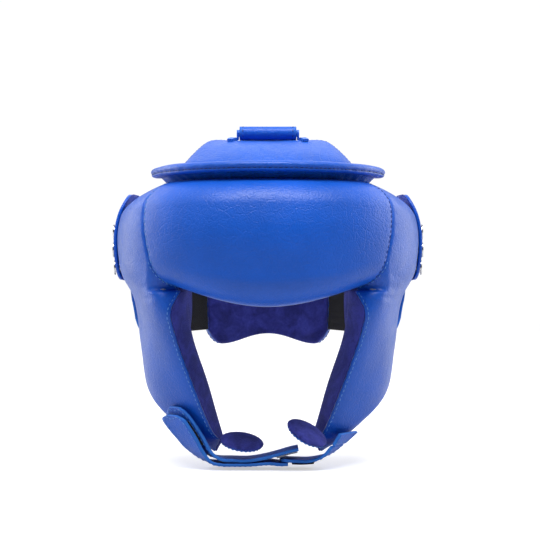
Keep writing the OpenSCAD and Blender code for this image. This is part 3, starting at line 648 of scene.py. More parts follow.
# The dark blue thread is used for the dark seams, and also as painted shade on the shaded forehead seam.
dark_thread_and_seam_shade = thread("dark_blue_thread_and_seam_shade", (0.004, 0.03, 0.22))
core = foam("grey_foam", (0.30, 0.31, 0.34))
nickel = metal("nickel_eyelet", (0.72, 0.72, 0.74))


# ---- work on one object at a time ----


def only(obj):
    if bpy.context.object and bpy.context.object.mode != "OBJECT":
        bpy.ops.object.mode_set(mode="OBJECT")
    bpy.ops.object.select_all(action="DESELECT")
    obj.select_set(True)
    bpy.context.view_layer.objects.active = obj


def cut_holes(obj, cutters):
    """Takes the cutters' shapes out of a piece."""
    for cutter in cutters:
        only(obj)
        bpy.ops.object.modifier_add(type="BOOLEAN")
        change = obj.modifiers[-1]
        change.operation, change.object, change.solver = "DIFFERENCE", cutter, "EXACT"
        bpy.ops.object.modifier_apply(modifier=change.name)


def drill(x, y, z, radius, length):
    """A round cutter across the shell, in millimetres."""
    bpy.ops.object.select_all(action="DESELECT")
    bpy.ops.mesh.primitive_cylinder_add(vertices=40, radius=radius * MM, depth=length * MM,
                                        location=(x * MM, y * MM, z * MM), rotation=(0, math.pi / 2, 0))
    return bpy.context.object


def ear_cutter(sign):
    """A stadium-shaped cutter for the ear hole, from a stretched cylinder."""
    bpy.ops.object.select_all(action="DESELECT")
    bpy.ops.mesh.primitive_cylinder_add(vertices=64, radius=0.017, depth=0.05, rotation=(0, math.pi / 2, 0),
                                        location=(sign * (head_w / 2 + 10) * MM, ear_y * MM, ear_z * MM))
    cutter = bpy.context.object
    bpy.ops.object.transform_apply(location=True, rotation=True, scale=True)
    for vert in cutter.data.vertices:
        vert.co.z += 0.011 if vert.co.z > ear_z * MM else -0.011
    return cutter


def remove(objects):
    for obj in objects:
        bpy.data.objects.remove(obj, do_unlink=True)


def foam_core(node, body):
    """A foam block with cut, softened edges in the place of its plain solid."""
    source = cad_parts[node]
    mesh = source.data.copy()
    obj = link(mesh, node + "_block", core, None)
    obj.data.materials.clear()
    obj.data.materials.append(core)
    only(obj)
    bpy.ops.object.mode_set(mode="EDIT")
    bpy.ops.mesh.select_all(action="SELECT")
    bpy.ops.mesh.remove_doubles(threshold=0.00005)
    bpy.ops.object.mode_set(mode="OBJECT")
    obj.modifiers.new("even", "REMESH").voxel_size = 0.0024
    soften = obj.modifiers.new("soften", "SMOOTH")
    soften.factor, soften.iterations = 0.6, 4
    for change in list(obj.modifiers):
        bpy.ops.object.modifier_apply(modifier=change.name)
    obj.data.polygons.foreach_set("use_smooth", [True] * len(obj.data.polygons))
    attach(obj, body)
    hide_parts(node)
    return obj


# ---- stitches ----


def stitch_row(name, points, out, body, material, length=2.6, space=1.3, radius=0.32, lift=0.12,
               slot="leather"):
    """Short stitches along a line of points lying on a surface with normals out."""
    points, out = np.asarray(points, float), np.asarray(out, float)
    run = np.concatenate([[0], np.cumsum(np.linalg.norm(np.diff(points, axis=0), axis=1))])
    count = max(1, int(run[-1] // (length + space)))
    verts, faces = [], []
    for k in range(count):
        s0 = (k + 0.5) * run[-1] / count - length / 2
        spots = [np.array([np.interp(s0 + length * t, run, points[:, i]) for i in range(3)])
                 for t in (0, 0.5, 1)]
        normal = unit(np.array([np.interp(s0 + length / 2, run, out[:, i]) for i in range(3)]))
        along = unit(spots[2] - spots[0])
        across = unit(np.cross(normal, along))
        base = len(verts)
        rings = [(0.0, 0.35, -0.25), (0.12, 0.85, 0.0), (0.5, 1.0, 0.12),
                 (0.88, 0.85, 0.0), (1.0, 0.35, -0.25)]
        for t, fat, up in rings:
            bow = spots[1] - (spots[0] + spots[2]) / 2
            centre = spots[0] + along * length * t + bow * (1 - (2 * t - 1) ** 2)
            for m in range(6):
                a = math.pi * m / 3
                verts.append(centre + across * (radius * fat * math.cos(a))
                             + normal * (lift + up + radius * fat * 0.8 * math.sin(a)))
        for i in range(4):
            for m in range(6):
                w = (m + 1) % 6
                faces.append([base + i * 6 + m, base + i * 6 + w,
                              base + (i + 1) * 6 + w, base + (i + 1) * 6 + m])
        faces.append([base + m for m in reversed(range(6))])
        faces.append([base + 24 + m for m in range(6)])
    mesh = bpy.data.meshes.new(name)
    mesh.from_pydata((np.array(verts) * MM).tolist(), [], faces)
    tidy_faces(mesh)
    return link(mesh, name, material, body)


def inset_line(points, out, edge, distance, start=0.0, stop=1.0):
    """A line that runs a fixed distance inside one edge of a skin."""
    axis = 0 if edge in ("low", "high") else 1
    grid, normal = points, out
    if edge in ("high", "right"):
        grid, normal = np.flip(points, axis), np.flip(out, axis)
    if axis == 0:
        grid, normal = np.swapaxes(grid, 0, 1), np.swapaxes(normal, 0, 1)
    run = arc(grid, 1)
    line = np.array([[np.interp(distance, run[i], grid[i, :, k]) for k in range(3)]
                     for i in range(len(grid))])
    turned = np.array([[np.interp(distance, run[i], normal[i, :, k]) for k in range(3)]
                       for i in range(len(grid))])
    a, b = int(start * (len(line) - 1)), int(stop * (len(line) - 1)) + 1
    return line[a:b], unit(turned[a:b])


def stitch_edge(name, inset, *rest, **style):
    """A row of stitches along inset_line(*inset); the rest is as for stitch_row."""
    stitch_row(name, *inset_line(*inset), *rest, **style)


def skin_normals(points, out):
    """Normals of a skin, facing the way of out."""
    n = unit(np.cross(np.gradient(points, axis=1), np.gradient(points, axis=0)))
    flip = np.sign(np.sum(n * out, -1, keepdims=True))
    return np.where(np.linalg.norm(n, axis=-1, keepdims=True) > 0.5, n * np.where(flip == 0, 1, flip), out)


def padded_skins(name, outer, inner, out, body, cover_node, lining_node, material=hide,
                 inside=purple):
    """The leather cover and the suede lining of one pad, each a closed sheet."""
    cover = link(shell_mesh(name + "_leather", outer, outer - out * (cover_t - 0.1), 0.25), name + "_leather",
                 material, body, [cover_node])
    lining = link(shell_mesh(name + "_suede", inner + out * (lining_t - 0.1), inner, 0.25), name + "_suede",
                  inside, body, [lining_node])
    return cover, lining


def end_wall(name, outer, inner, column, rows, material=hide):
    """The leather that closes a pad's sewn end, from the cover's edge to the lining's."""
    a, b = outer[:rows, column], inner[:rows, column]
    into = unit(outer[:rows, 4 if column == 0 else -5] - a)
    span = np.linalg.norm(b - a, axis=-1)[:, None]
    t = mix(0.9 / span, 1 - 0.8 / span, np.linspace(0, 1, 9)[None, :])[..., None]
    sheet = mix(a[:, None], b[:, None], t)
    return link(shell_mesh(name, sheet, sheet + into[:, None] * 0.9, 0.05), name, material, "shell")


# ---- forehead pad ----

u_steps, v_steps = eased_steps(150), eased_steps(72)


def brow_pull(u, v, p):
    """Slight hollows under the seams' stitches at the sides of the pad."""
    near = np.minimum(u, 1 - u)
    return 0.35 * np.exp(-(near / 0.012) ** 2)


outer, inner, out = layers(forehead, u_steps, v_steps, slack=0.35, depth=0.35, seed=1, crease=brow_pull)
normals = skin_normals(outer, out)
padded_skins("forehead", outer, inner, out, "shell", "forehead_cover", "forehead_lining")
# Both forehead seams are sewn with the same thread. The seam named left gets the dark thread as painted shade, and the
# seam named right gets the light thread.
for edge, name, material in (("left", "right", light_thread), ("right", "left", dark_thread_and_seam_shade)):
    stitch_edge("forehead_seam_stitches_" + name, (outer, normals, edge, 2.4, 0.03, 0.97), "shell", material)
stitch_edge("forehead_top_stitches", (outer, normals, "high", 3.0, 0.02, 0.98), "shell", dark_thread_and_seam_shade)
for name, column in (("right", 0), ("left", -1)):
    end_wall("forehead_end_leather_" + name, outer, inner, column, len(outer))
foam_core("forehead_foam", "shell")

# ---- side pads ----

u_steps, v_steps = eased_steps(110), eased_steps(170)


def temple_creases(u, v, p):
    """Where the pad turns the corner at the brow, the leather gathers into short folds."""
    z, y = p[..., 2], p[..., 1]
    corner = np.exp(-((z + 16) / 12) ** 2) * np.exp(-(u / 0.22) ** 2)
    folds = 0.5 + 0.5 * np.cos((z * 0.8 + u * 30) + 1.3 * np.sin(u * 20))
    behind = np.exp(-((u - 0.93) / 0.05) ** 2) * (0.5 + 0.5 * np.cos(v * 75 + 2 * np.sin(v * 21)))
    return 0.55 * corner * folds**2 + 0.5 * behind


outer_l, inner_l, out_l = layers(side, u_steps, v_steps, slack=0.55, depth=0.4, seed=3, crease=temple_creases)
for name, sign in (("left", 1), ("right", -1)):
    flip = np.array([float(sign), 1, 1])
    outer, inner, out = outer_l * flip, inner_l * flip, out_l * flip
    normals = skin_normals(outer, out)
    cover, lining = padded_skins("side_" + name, outer, inner, out, "shell", "side_cover_" + name,
                                 "side_lining_" + name)
    holes = [drill(sign * (head_w / 2 + 25), ear_y, z, vent_r, 70) for z in vent_z]
    cut_holes(cover, holes)
    slot_cutter = ear_cutter(sign)
    cut_holes(lining, [slot_cutter])
    remove(holes + [slot_cutter])
    stitch_edge("cheek_edge_stitches_" + name, (outer, normals, "left", 1.6, 0.34, 0.995), "shell",
                light_thread, 2.2, 1.5)
    stitch_edge("side_rear_stitches_" + name, (outer, normals, "right", 2.6, 0.02, 0.98), "shell",
                dark_thread_and_seam_shade)
    stitch_edge("side_top_stitches_" + name, (outer, normals, "low", 3.0, 0.02, 0.97), "shell",
                dark_thread_and_seam_shade)
    end_wall("side_front_leather_" + name, outer, inner, 0, int(np.sum(v_steps < 0.4)))
    for block in ("side_foam_", "cheek_foam_"):
        foam_core(block + name, "shell")

# ---- back pad ----

outer, inner, out = layers(back_pad, eased_steps(90), eased_steps(90), slack=0.5, depth=0.5, seed=7)
normals = skin_normals(outer, out)
padded_skins("back_pad", outer, inner, out, "back", "back_pad_cover", "back_pad_lining")
for edge in ("left", "right", "low", "high"):
    stitch_edge("back_pad_stitches_" + edge, (outer, normals, edge, 3.2, 0.04, 0.96), "back", dark_thread_and_seam_shade)
foam_core("back_pad_foam", "back")

# ---- crown flaps ----


def tip_folds(u, v, p):
    """Broad soft folds that run out from the keeper over the flap."""
    reach = np.exp(-((u - 0.5) / 0.3) ** 2)
    return 0.4 * reach * (0.5 + 0.5 * np.cos(u * 34)) * v * (1 - v) * 2


for name, plan, body, seed in (("front", FRONT_PLAN, "shell", 11), ("back", BACK_PLAN, "back", 13)):
    outer, inner, out = layers(flap(plan), eased_steps(100), eased_steps(60), slack=0.6, depth=0.45,
                               seed=seed, crease=tip_folds)
    normals = skin_normals(outer, out)
    padded_skins("crown_" + name, outer, inner, out, body, f"crown_{name}_cover", f"crown_{name}_lining",
                 crinkled)
    for edge in ("left", "right", "high"):
        stitch_edge(f"crown_{name}_stitches_{edge}", (outer, normals, edge, 6.5, 0.08, 0.94), body,
                    dark_thread_and_seam_shade, lift=-0.1)
    foam_core(f"crown_{name}_foam", body)

# ---- rim: a padded roll with a stitched groove round its lower half ----

steps = np.linspace(-rim_reach, rim_reach, 221)
turn = np.linspace(0, 2 * np.pi, 40, endpoint=False)
angle, spin = np.meshgrid(steps, turn, indexing="ij")
end = np.sqrt(np.clip(1 - ((np.abs(angle) - rim_reach + 6).clip(0) / 6.2) ** 2, 0.02, 1))
across, up = np.cos(spin), np.sin(spin)
groove = 1.1 * np.exp(-((up + 0.28) / 0.16) ** 2) * (across > 0)
round_off = 1 / (np.abs(across) ** 2.6 + np.abs(up) ** 2.6) ** (1 / 2.6)
gathers = (0.25 * np.cos(np.radians(angle) * 100 * 2 * np.pi / 11 + 2 * np.sin(angle / 9)) * (across > 0)
           * np.exp(-((up + 0.3) / 0.5) ** 2))
half_d = (rim_d / 2 * round_off * end) - (groove + gathers) * end
roll = polar(angle, oval(angle, rim_x, rim_front, rim_front) + across * half_d,
             rim_z(angle) + up * rim_h / 2 * round_off * end)
out = unit(polar(angle, across, 0 * angle) + up[..., None] * np.array([0, 0, 1.0]))
roll = roll + out * ripple(roll, 26, 0.35, 17)[..., None]


def tube_mesh(name, rings):
    """A closed tube through rings of points, capped at both ends."""
    rows, cols = rings.shape[:2]
    faces, face_uv = [], []
    for i in range(rows - 1):
        for j in range(cols):
            k = (j + 1) % cols
            faces.append([i * cols + j, i * cols + k, (i + 1) * cols + k, (i + 1) * cols + j])
            face_uv += [(i / rows, j / cols), (i / rows, (j + 1) / cols),
                        ((i + 1) / rows, (j + 1) / cols), ((i + 1) / rows, j / cols)]
    for i in (0, rows - 1):
        ids = [i * cols + j for j in range(cols)]
        faces.append(ids if i else ids[::-1])
        face_uv += [(i / rows, j / cols) for j in range(cols)]
    mesh = bpy.data.meshes.new(name)
    mesh.from_pydata((rings.reshape(-1, 3) * MM).tolist(), [], faces)
    mesh.uv_layers.new(name="UVMap").data.foreach_set("uv", np.array(face_uv, np.float32).ravel())
    tidy_faces(mesh)
    return mesh


rim = link(tube_mesh("rim_roll", roll), "rim_roll", hide, "shell", ["top_rim"])
low = int(round((np.arcsin(-0.28) % (2 * np.pi)) / (2 * np.pi) * 40))
stitch_row("rim_stitches", roll[4:-4, low], out[4:-4, low], "shell", dark_thread_and_seam_shade, lift=0.2)

# ---- gusset: the wrinkled band between the rim and the pads ----

steps = np.linspace(-rim_reach + 4, rim_reach - 4, 240)
rise = np.linspace(0, 1, 22)
angle, t = np.meshgrid(steps, rise)
z_low = top_edge(angle) - 1.8
r_low = mix(head_r(angle, z_low), shell_r(np.abs(angle), z_low), 0.35) - 1.4
r_high = oval(angle, rim_x, rim_front, rim_front) - 1
place = np.radians(angle) * 100
wrinkle = ((0.8 * np.sin(place / 3.1 + 1.5 * np.sin(place / 13) + 3 * t)
            + 0.5 * np.sin(place / 5.3 + 4 * t)) * np.sin(np.pi * t) ** 0.7)
fold = -1.8 * np.sin(np.pi * t)
sheet_in = polar(angle, mix(r_low, r_high, t) + wrinkle * 0.6 + fold,
                 mix(z_low, rim_z(angle) - rim_h / 2 + 2.5, t))
sheet_out = sheet_in + polar(angle, 1.6 + 0 * t, 0 * t)
gusset = link(shell_mesh("gusset_band", sheet_out, sheet_in, 0.1), "gusset_band", crinkled, "shell",
              ["rim_gusset"])

# ---- ear guards and eyelets ----

guard_h, guard_w, guard_t, guard_z, guard_y = 68, 48, 2.6, 26, 20


def shell_x(y, z):
    a = 90 + np.degrees(np.arcsin(y / (outer_x * curve(EAR_FORM, share(z)))))
    return shell_r(a, z) * np.sin(np.radians(a))


s, t = np.meshgrid(eased_steps(70) * 2 - 1, np.linspace(-1, 1, 61), indexing="ij")
half = guard_w / 2 * (1 - np.abs(s) ** 3.2).clip(0) ** (1 / 3.2) + 2
y, z = guard_y + t * half, guard_z + s * guard_h / 2
lift = 1.6 * np.abs(s) ** 4
face_in = np.stack([shell_x(y, z) + 0.6 + lift, y, z], -1)
face_out = (face_in + np.array([guard_t, 0, 0])
            + np.array([1.0, 0, 0]) * ripple(face_in, 24, 0.3, 21)[..., None])
for name, sign in (("left", 1), ("right", -1)):
    flip = np.array([float(sign), 1, 1])
    guard = link(shell_mesh("ear_guard_leather_" + name, face_out * flip, face_in * flip, 0.4),
                 "ear_guard_leather_" + name, hide, "shell", ["ear_guard_" + name])
    holes = [drill(sign * (head_w / 2 + 25), ear_y, z_hole, vent_r, 70) for z_hole in vent_z]
    cut_holes(guard, holes)
    remove(holes)
    normals = np.broadcast_to(flip * np.array([1.0, 0, 0]), face_out.shape)
    for edge in ("left", "right", "low", "high"):
        stitch_edge(f"guard_stitches_{name}_{edge}", (face_out * flip, normals, edge, 3.4, 0.05, 0.95),
                    "shell", dark_thread_and_seam_shade, radius=0.22, lift=-0.1)
    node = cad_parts["ear_eyelets_" + name]
    node.data.materials.clear()
    node.data.materials.append(nickel)

# ---- straps ----


def strap(name, outer, inner, material, body, stands_for, edge_material=cut_edge, bulge=0.12):
    """A flat strap whose cut edge shows the paler middle of the hide."""
    mesh = shell_mesh(name, outer, inner, bulge)
    obj = link(mesh, name, material, body, stands_for)
    if edge_material:
        mesh.materials.append(edge_material)
        rows, cols = outer.shape[:2]
        for polygon in list(mesh.polygons)[2 * (rows - 1) * (cols - 1):]:
            polygon.material_index = 1
    return obj


strap_z, tongue_angle, hinge_angle, back_strap_h = -31, 102, 150, 36
tape_out = 2 * tape_t + 0.6


def wrap(a0, a1, h, d, tongue=False, steps=90):
    s, t = np.meshgrid(np.linspace(0, 1, steps + 1), np.linspace(-1, 1, 15), indexing="ij")
    s = mix(s, 1 - (1 - s) ** 2, 0.5) if tongue else s
    a = mix(a0, a1, s)
    taper = np.where((s > 0.78) & tongue, np.sqrt(1 - 0.85 * ((s - 0.78).clip(0) / 0.22) ** 2), 1)
    z = strap_z + t * h / 2 * taper
    return polar(a, shell_r(a, z) + 1.2 + d, z)


for name, sign in (("left", 1), ("right", -1)):
    flip = np.array([float(sign), 1, 1])
    tape = wrap(tongue_angle + 4, 124, back_strap_h - 6, tape_t) * flip
    strap("side_loop_" + name, tape, wrap(tongue_angle + 4, 124, back_strap_h - 6, 0) * flip, loops, "shell",
          ["side_loop_tape_" + name], None)
    body = "back_strap_" + name
    tape = wrap(tongue_angle + 6, 122, back_strap_h - 8, tape_out - 0.2) * flip
    strap("back_hook_" + name, tape, wrap(tongue_angle + 6, 122, back_strap_h - 8, tape_t + 0.45) * flip, hooks,
          body, ["back_hook_tape_" + name], None)
    face = wrap(hinge_angle - 0.3, tongue_angle, back_strap_h, tape_out + strap_t, True) * flip
    under = wrap(hinge_angle - 0.3, tongue_angle, back_strap_h, tape_out, True) * flip
    strap("rear_strap_" + name, face, under, strap_hide, body, ["back_strap_" + name])
    normals = unit(face - under)
    for edge in ("left", "right", "high"):
        stitch_edge(f"rear_strap_stitches_{name}_{edge}", (face, normals, edge, 3.0, 0.03, 0.97), body,
                    light_thread)
a0, a1 = hinge_angle + 0.3, 360 - hinge_angle - 0.3
face = wrap(a0, a1, back_strap_h, tape_out + strap_t)
under = wrap(a0, a1, back_strap_h, tape_out)
strap("rear_strap_panel", face, under, strap_hide, "back", ["back_strap_base"])
normals = unit(face - under)
for edge in ("left", "right", "low", "high"):
    stitch_edge("rear_panel_stitches_" + edge, (face, normals, edge, 3.2, 0.03, 0.97), "back", light_thread)

# ---- elastic bands ----


def seam_place(pair, u, z):
    v = np.linspace(0, 1, 400)
    inner, outer = pair(0 * v + u, v)
    seam = (inner + outer) / 2
    if u == 1:
        seam = seam[v < 0.75]
    seam = seam[np.argsort(seam[:, 2])]
    return np.stack([np.interp(z, seam[:, 2], seam[:, i]) for i in range(3)], -1)


z = np.linspace(-50, 12, 60)
begin, finish = seam_place(side, 1, z), seam_place(back_pad, 0, z)
run = unit(finish - begin)
begin, finish = begin + 0.4 * run, finish - 0.75 * run
t = np.linspace(0, 1, 25)[None, :, None]
sheet_mid = mix(begin[:, None], finish[:, None], t)
out = unit(np.stack([run[:, 1], -run[:, 0], 0 * z], -1))[:, None] * np.array([1.0, 1, 1])
out = np.where(np.sum(out * sheet_mid[:, :1], -1, keepdims=True) > 0, out, -out)
cords = 0.18 * np.abs(np.sin(np.linspace(0, 60, 60) * np.pi * 0.5 / 3))[:, None, None]
for name, sign in (("left", 1), ("right", -1)):
    flip = np.array([float(sign), 1, 1])
    mesh = shell_mesh("rear_elastic_" + name, (sheet_mid + out * (0.7 - cords)) * flip,
                      (sheet_mid - out * (0.7 - cords)) * flip, 0.1)
    elastic = link(mesh, "rear_elastic_" + name, band, None, ["elastic_" + name])
    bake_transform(elastic)

# ---- crown strap ----

bar_y, keeper_r, crown_w = -16, 2.8, 44
fold_r = keeper_r + 0.4


def strap_level(y, d):
    slope = (dome_z(0, y + 1) - dome_z(0, y - 1)) / 2
    return dome_z(0, y) + (crown_t + 0.3 + d) * np.sqrt(1 + slope**2)


bar_z = float(strap_level(bar_y, strap_t + fold_r))


def sag(y):
    return 0.0012 * ease((y - bar_y - 10) / 30)


def crown_sheet(y, z, width):
    """Rows across the strap at places (y, z) along it."""
    t = np.linspace(-1, 1, 17)[None, :]
    y, z, half = y[:, None] + 0 * t, z[:, None] + 0 * t, (width / 2)[:, None] * t
    return np.stack([half, y, z - sag(y) * half**2], -1)


y = np.linspace(72, bar_y - 0.3, 70)
turn = np.radians(np.linspace(0, 180, 30))[1:]
flat = 0 * np.concatenate([y, turn]) + crown_w
barrel = 0.35 * np.sin(turn)


def crown_base(d):
    r = fold_r + d
    return crown_sheet(np.concatenate([y, bar_y - (r + barrel * (d > 0)) * np.sin(turn)]),
                       np.concatenate([strap_level(y, strap_t - d), bar_z - r * np.cos(turn)]), flat)


face, under = crown_base(strap_t), crown_base(0)
strap("crown_strap_fold", face, under, strap_hide, "back", ["crown_strap_base"])
normals = unit(face - under)
for edge in ("left", "right"):
    stitch_edge("crown_fold_stitches_" + edge, (face, normals, edge, 2.6, 0.70, 1.0), "back", dark_thread_and_seam_shade)
tape_top = strap_t + 0.45 + tape_t
for name, material, body, slot, node, y0, y1, d, w in (
        ("crown_loops", loops, "back", "loop_tape", "crown_loop_tape", bar_y + 16, 54, strap_t + 0.1, crown_w - 8),
        ("crown_hooks", hooks, "crown_strap", "hook_tape", "crown_hook_tape", bar_y + 20, 42, tape_top, crown_w - 10)):
    rows = np.linspace(y0, y1, 40)
    width = 0 * rows + w
    strap(name, crown_sheet(rows, strap_level(rows, d + tape_t), width),
          crown_sheet(rows, strap_level(rows, d), width), material, body, [node], None)
s = np.linspace(0, 1, 70)
y = mix(bar_y + 0.5, 46, s)
level = mix(bar_z + fold_r, strap_level(y, tape_top + tape_t + 0.1), ease(s * 2.4))
width = crown_w * np.where(s > 0.8, np.sqrt(1 - 0.8 * ((s - 0.8).clip(0) / 0.2) ** 2), 1)
face, under = crown_sheet(y, level + strap_t, width), crown_sheet(y, level, width)
strap("crown_strap_top", face, under, strap_hide, "crown_strap", ["crown_strap_end"])
normals = np.broadcast_to(np.array([0, 0, 1.0]), face.shape)
for edge in ("left", "right", "high"):
    stitch_edge("crown_top_stitches_" + edge, (face, normals, edge, 3.0, 0.03, 0.97), "crown_strap",
                light_thread)
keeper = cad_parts["crown_keeper"]
keeper.data.materials.clear()
keeper.data.materials.append(strap_hide)

# ---- chin straps ----

chin_w = 30


def route(points):
    return np.array(points, float)


INNER = route([[-69.5, -62, -103, -38], [-65.5, -62, -111, -38], [-60.5, -62.5, -118, -36],
               [-55.5, -63, -124.5, -32], [-50.5, -64, -131, -26], [-44.5, -65, -137, -18],
               [-36, -65, -140.6, -10], [-27, -65, -141, -4], [-15, -65, -141.2, 0], [-4.5, -65, -139.7, 0],
               [5, -65, -137.4, 0], [16, -65, -134.2, 0], [22.6, -65, -132.8, 0]])


def route_point(path, t):
    return curve([[i, list(p)] for i, p in enumerate(path)], np.asarray(t) * (len(path) - 1))


def strap_frame(path, t):
    p = route_point(path, t)
    run = (route_point(path, np.minimum(1, t + 0.02))[..., :3]
           - route_point(path, np.maximum(0, t - 0.02))[..., :3])
    w = np.stack([np.sin(np.radians(p[..., 3])), np.cos(np.radians(p[..., 3])), 0 * p[..., 3]], -1)
    return p[..., :3], w, unit(np.cross(w, run)), p[..., 3]


stack = strap_t + 2 * tape_t + 0.8
under_inner = [strap_frame(INNER, np.array([i / 12])) for i in (0.5, 1, 2, 3, 4)]
OUTER = np.concatenate([
    np.array([[*(f[0][0] + stack * f[2][0]), f[3][0]] for f in under_inner]),
    route([[-45.5, -65, -142.3, -14], [-36, -65, -144.3, -6], [-27, -65, -144.5, 0],
           [-13.6, -65, -144.4, 0], [0, -65, -143.4, 0], [9, -65, -144.1, 0], [15, -65, -144, 0]])])
TAB = route([[9, -65, -140.8, 0], [15, -65, -141.4, 0], [21, -65, -141.7, 0],
             [32, -65, -141.6, 4], [43, -65, -138.4, 12], [51.5, -64, -131.5, 20]])
TAB_TAPE = route([[18, -65, -144.1, 0], [26, -65, -144.3, 1], [35, -65, -143.8, 4]])
ANCHOR = route([[52.8, -64, -130.4, 20], [56.2, -63.4, -126.6, 25], [60, -62.8, -122.2, 30]])


def ribbon(path, w, d, tongue=False, start=0.0, stop=1.0, steps=110):
    s, e = np.linspace(0, 1, steps + 1), np.linspace(-1, 1, 13)
    if tongue:
        s = mix(s, s**2, 0.5)
    centre, across, out, _ = strap_frame(path, mix(start, stop, s))
    taper = np.where((s < 0.12) & tongue, np.sqrt(1 - 0.85 * (1 - s.clip(0, 0.12) / 0.12) ** 2), 1)
    half = (w / 2 * taper)[:, None, None] * e[None, :, None]
    return centre[:, None] + half * across[:, None] + d * out[:, None]


for name, path, w, d0, d1, tongue, start, stop, material, body, slot, node in (
        ("chin_inner_strap", INNER, chin_w, 0, strap_t, True, 0, 1, strap_hide, "chin_inner", "leather",
         "chin_strap_inner"),
        ("chin_inner_loops", INNER, chin_w - 6, strap_t + 0.2, strap_t + 0.2 + tape_t, False, 0.1, 0.31, loops,
         "chin_inner", "loop_tape", "chin_inner_loop_tape"),
        ("chin_inner_hooks", INNER, chin_w - 4, strap_t + 0.2, strap_t + 0.2 + tape_t, False, 0.84, 0.985, hooks,
         "chin_inner", "hook_tape", "chin_inner_hook_tape"),
        ("chin_outer_strap", OUTER, chin_w, 0, strap_t, True, 0, 1, strap_hide, "chin_outer", "leather",
         "chin_strap_outer"),
        ("chin_outer_hooks", OUTER, chin_w - 7, -0.1 - tape_t, -0.1, False, 0.08, 0.34, hooks, "chin_outer",
         "hook_tape", "chin_outer_hook_tape"),
        ("chin_strap_tab", TAB, chin_w - 2, 0, strap_t, True, 0, 1, strap_hide, "chin_outer", "leather",
         "chin_tab"),
        ("chin_tab_loops", TAB_TAPE, chin_w - 6, 0, tape_t, False, 0, 1, loops, "chin_outer", "loop_tape",
         "chin_tab_loop_tape"),
        ("chin_strap_anchor", ANCHOR, chin_w - 2, 0, strap_t, False, 0, 1, strap_hide, "shell", "leather",
         "chin_anchor")):
    face, under = ribbon(path, w, d1, tongue, start, stop), ribbon(path, w, d0, tongue, start, stop)
    leathery = slot == "leather"
    strap(name, face, under, material, body, [node], cut_edge if leathery else None)
    if leathery:
        for edge in ("left", "right", "low"):
            stitch_edge(f"{name}_stitches_{edge}", (face, unit(face - under), edge, 2.6, 0.02, 0.98), body,
                        light_thread)

# ---- chin flaps: two small oval pads ----

flap_l, flap_w, flap_t = 33, 30, 7.4


def turned(points, degrees, axis):
    a = math.radians(degrees)
    c, s = math.cos(a), math.sin(a)
    m = {"x": [[1, 0, 0], [0, c, -s], [0, s, c]], "y": [[c, 0, s], [0, 1, 0], [-s, 0, c]],
         "z": [[c, -s, 0], [s, c, 0], [0, 0, 1]]}[axis]
    return points @ np.array(m).T


def right_flap(p):
    return turned(turned(p, 20, "x"), 8, "y") + np.array([-36.5, -68, -130])


def left_flap(p):
    return turned(turned(turned(p, 180, "z"), 28, "y"), 26, "x") + np.array([42, -74, -131.5])


r, a = np.meshgrid(np.sin(np.linspace(0.001, np.pi / 2, 26)),
                   np.linspace(0, 2 * np.pi, 72, endpoint=False), indexing="ij")
x, y = flap_l / 2 * (1 + r * np.cos(a)), flap_w / 2 * r * np.sin(a)
crown = np.sqrt((1 - r**2.6).clip(0))
gather = 0.25 * (r**6) * (0.5 + 0.5 * np.cos(24 * a)) + 0.3 * np.sin(3 * a + 1) * r * (1 - r)
top, middle, bottom = flap_t, 3.7, 0.0
for name, place in (("right", right_flap), ("left", left_flap)):
    body = "chin_flap_" + name
    skins = {
        "suede": (np.stack([x, y, middle + 0.15 + (top - middle - 0.4) * crown - gather], -1),
                  np.stack([x, y, middle + 0.05 + (top - middle - 1.7) * crown - gather * 0.5], -1), purple, "suede"),
        "leather": (np.stack([x, y, middle - 0.15 - (middle - bottom - 0.3) * crown + gather], -1),
                    np.stack([x, y, middle - 0.05 - (middle - bottom - 1.7) * crown + gather * 0.5], -1), hide,
                    "leather")}
    for kind, (face, under, material, slot) in skins.items():
        node = f"chin_flap_{name}_" + ("suede" if kind == "suede" else "cover")
        piece = link(shell_mesh(f"chin_flap_{name}_{kind}", place(face), place(under), 0.2, True),
                     f"chin_flap_{name}_{kind}_skin", material, body, [node])
        only(piece)
        bpy.ops.object.mode_set(mode="EDIT")
        bpy.ops.mesh.select_all(action="SELECT")
        bpy.ops.mesh.remove_doubles(threshold=0.00012)
        bpy.ops.mesh.normals_make_consistent(inside=False)
        bpy.ops.object.mode_set(mode="OBJECT")
    ring = np.linspace(0, 2 * np.pi, 90)
    line = np.stack([flap_l / 2 * (1 + 0.93 * np.cos(ring)), flap_w / 2 * 0.93 * np.sin(ring),
                     middle - 0.15 - (middle - 0.3) * np.sqrt(1 - 0.93**2.6) + 0 * ring], -1)
    down = np.stack([0 * ring, 0 * ring, 0 * ring - 1], -1)
    stitch_row(f"chin_flap_{name}_stitches", place(line), place(down) - place(0 * down), body, light_thread, 2.0, 1.4)
    foam_core(f"chin_flap_{name}_foam", body)

# ---- room, light and camera ----

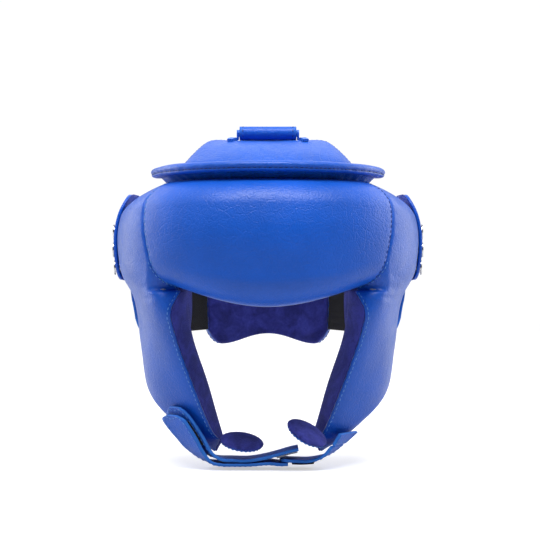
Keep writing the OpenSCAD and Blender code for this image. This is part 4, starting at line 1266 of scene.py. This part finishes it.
bpy.ops.object.select_all(action="DESELECT")
bpy.ops.mesh.primitive_plane_add(size=6, location=(0, 0, -0.1495))
floor = bpy.context.object
floor.name = "floor"
paint, n, shader = new_material("pale_floor")
mottle = n.texture("ShaderNodeTexNoise", n.node("ShaderNodeTexCoord").outputs["Object"], 3)
n.join(n.blend("MIX", n.spread(mottle.outputs["Fac"], 0.3, 0.7), (0.66, 0.66, 0.665), (0.70, 0.70, 0.70)),
       shader.inputs["Base Color"])
shader.inputs["Roughness"].default_value = 0.9
shader.inputs["Emission Color"].default_value = (1, 1, 1, 1)
seen = n.node("ShaderNodeLightPath").outputs["Is Camera Ray"]
n.join(n.math("MULTIPLY", seen, 0.5), shader.inputs["Emission Strength"])
floor.data.materials.append(paint)

world = bpy.data.worlds.new("studio")
scene.world = world
world.use_nodes = True
sky = world.node_tree.nodes["Background"]
sky.inputs["Color"].default_value = (1, 1, 1, 1)
n = Net(world.node_tree)
way = n.node("ShaderNodeSeparateXYZ")
n.join(n.node("ShaderNodeTexCoord").outputs["Generated"], way.inputs[0])
over = n.spread(way.outputs["Z"], 0.25, 0.85, 0, 0.55)
beside = n.spread(n.math("ABSOLUTE", way.outputs["X"]), 0.45, 0.9, 0, 0.3)
level = n.math("ADD", n.math("ADD", over, beside), 0.03)
seen = n.node("ShaderNodeLightPath").outputs["Is Camera Ray"]
n.join(n.math("MAXIMUM", n.math("MULTIPLY", seen, 1.02),
              n.math("MULTIPLY", level, n.math("SUBTRACT", 1, seen))),
       sky.inputs["Strength"])


def softbox(name, place, target, size, power):
    light = bpy.data.lights.new(name, "AREA")
    light.shape, light.size, light.size_y, light.energy = "RECTANGLE", size[0], size[1], power
    obj = bpy.data.objects.new(name, light)
    scene.collection.objects.link(obj)
    obj.location = place
    obj.rotation_euler = (Vector(target) - Vector(place)).to_track_quat("-Z", "Y").to_euler()
    return obj


softbox("softbox_top", (0, -0.4, 1.2), (0, 0, 0), (1.4, 0.4), 22)
softbox("softbox_left", (-1.15, 0.75, 0.1), (0, 0, -0.02), (1.0, 1.5), 12)
softbox("softbox_right", (1.15, 0.75, 0.1), (0, 0, -0.02), (1.0, 1.5), 12)
softbox("softbox_floor", (0, 2.0, 1.1), (0, 2.0, -0.15), (3.6, 1.8), 24)

camera_data = bpy.data.cameras.new("camera")
camera_data.lens, camera_data.sensor_width = 127, 36
camera = bpy.data.objects.new("camera", camera_data)
scene.collection.objects.link(camera)
camera.location = (0.0016, -1.5, 0)
camera.rotation_euler = (math.pi / 2, 0, 0)
scene.camera = camera
scene.view_settings.view_transform = "Standard"
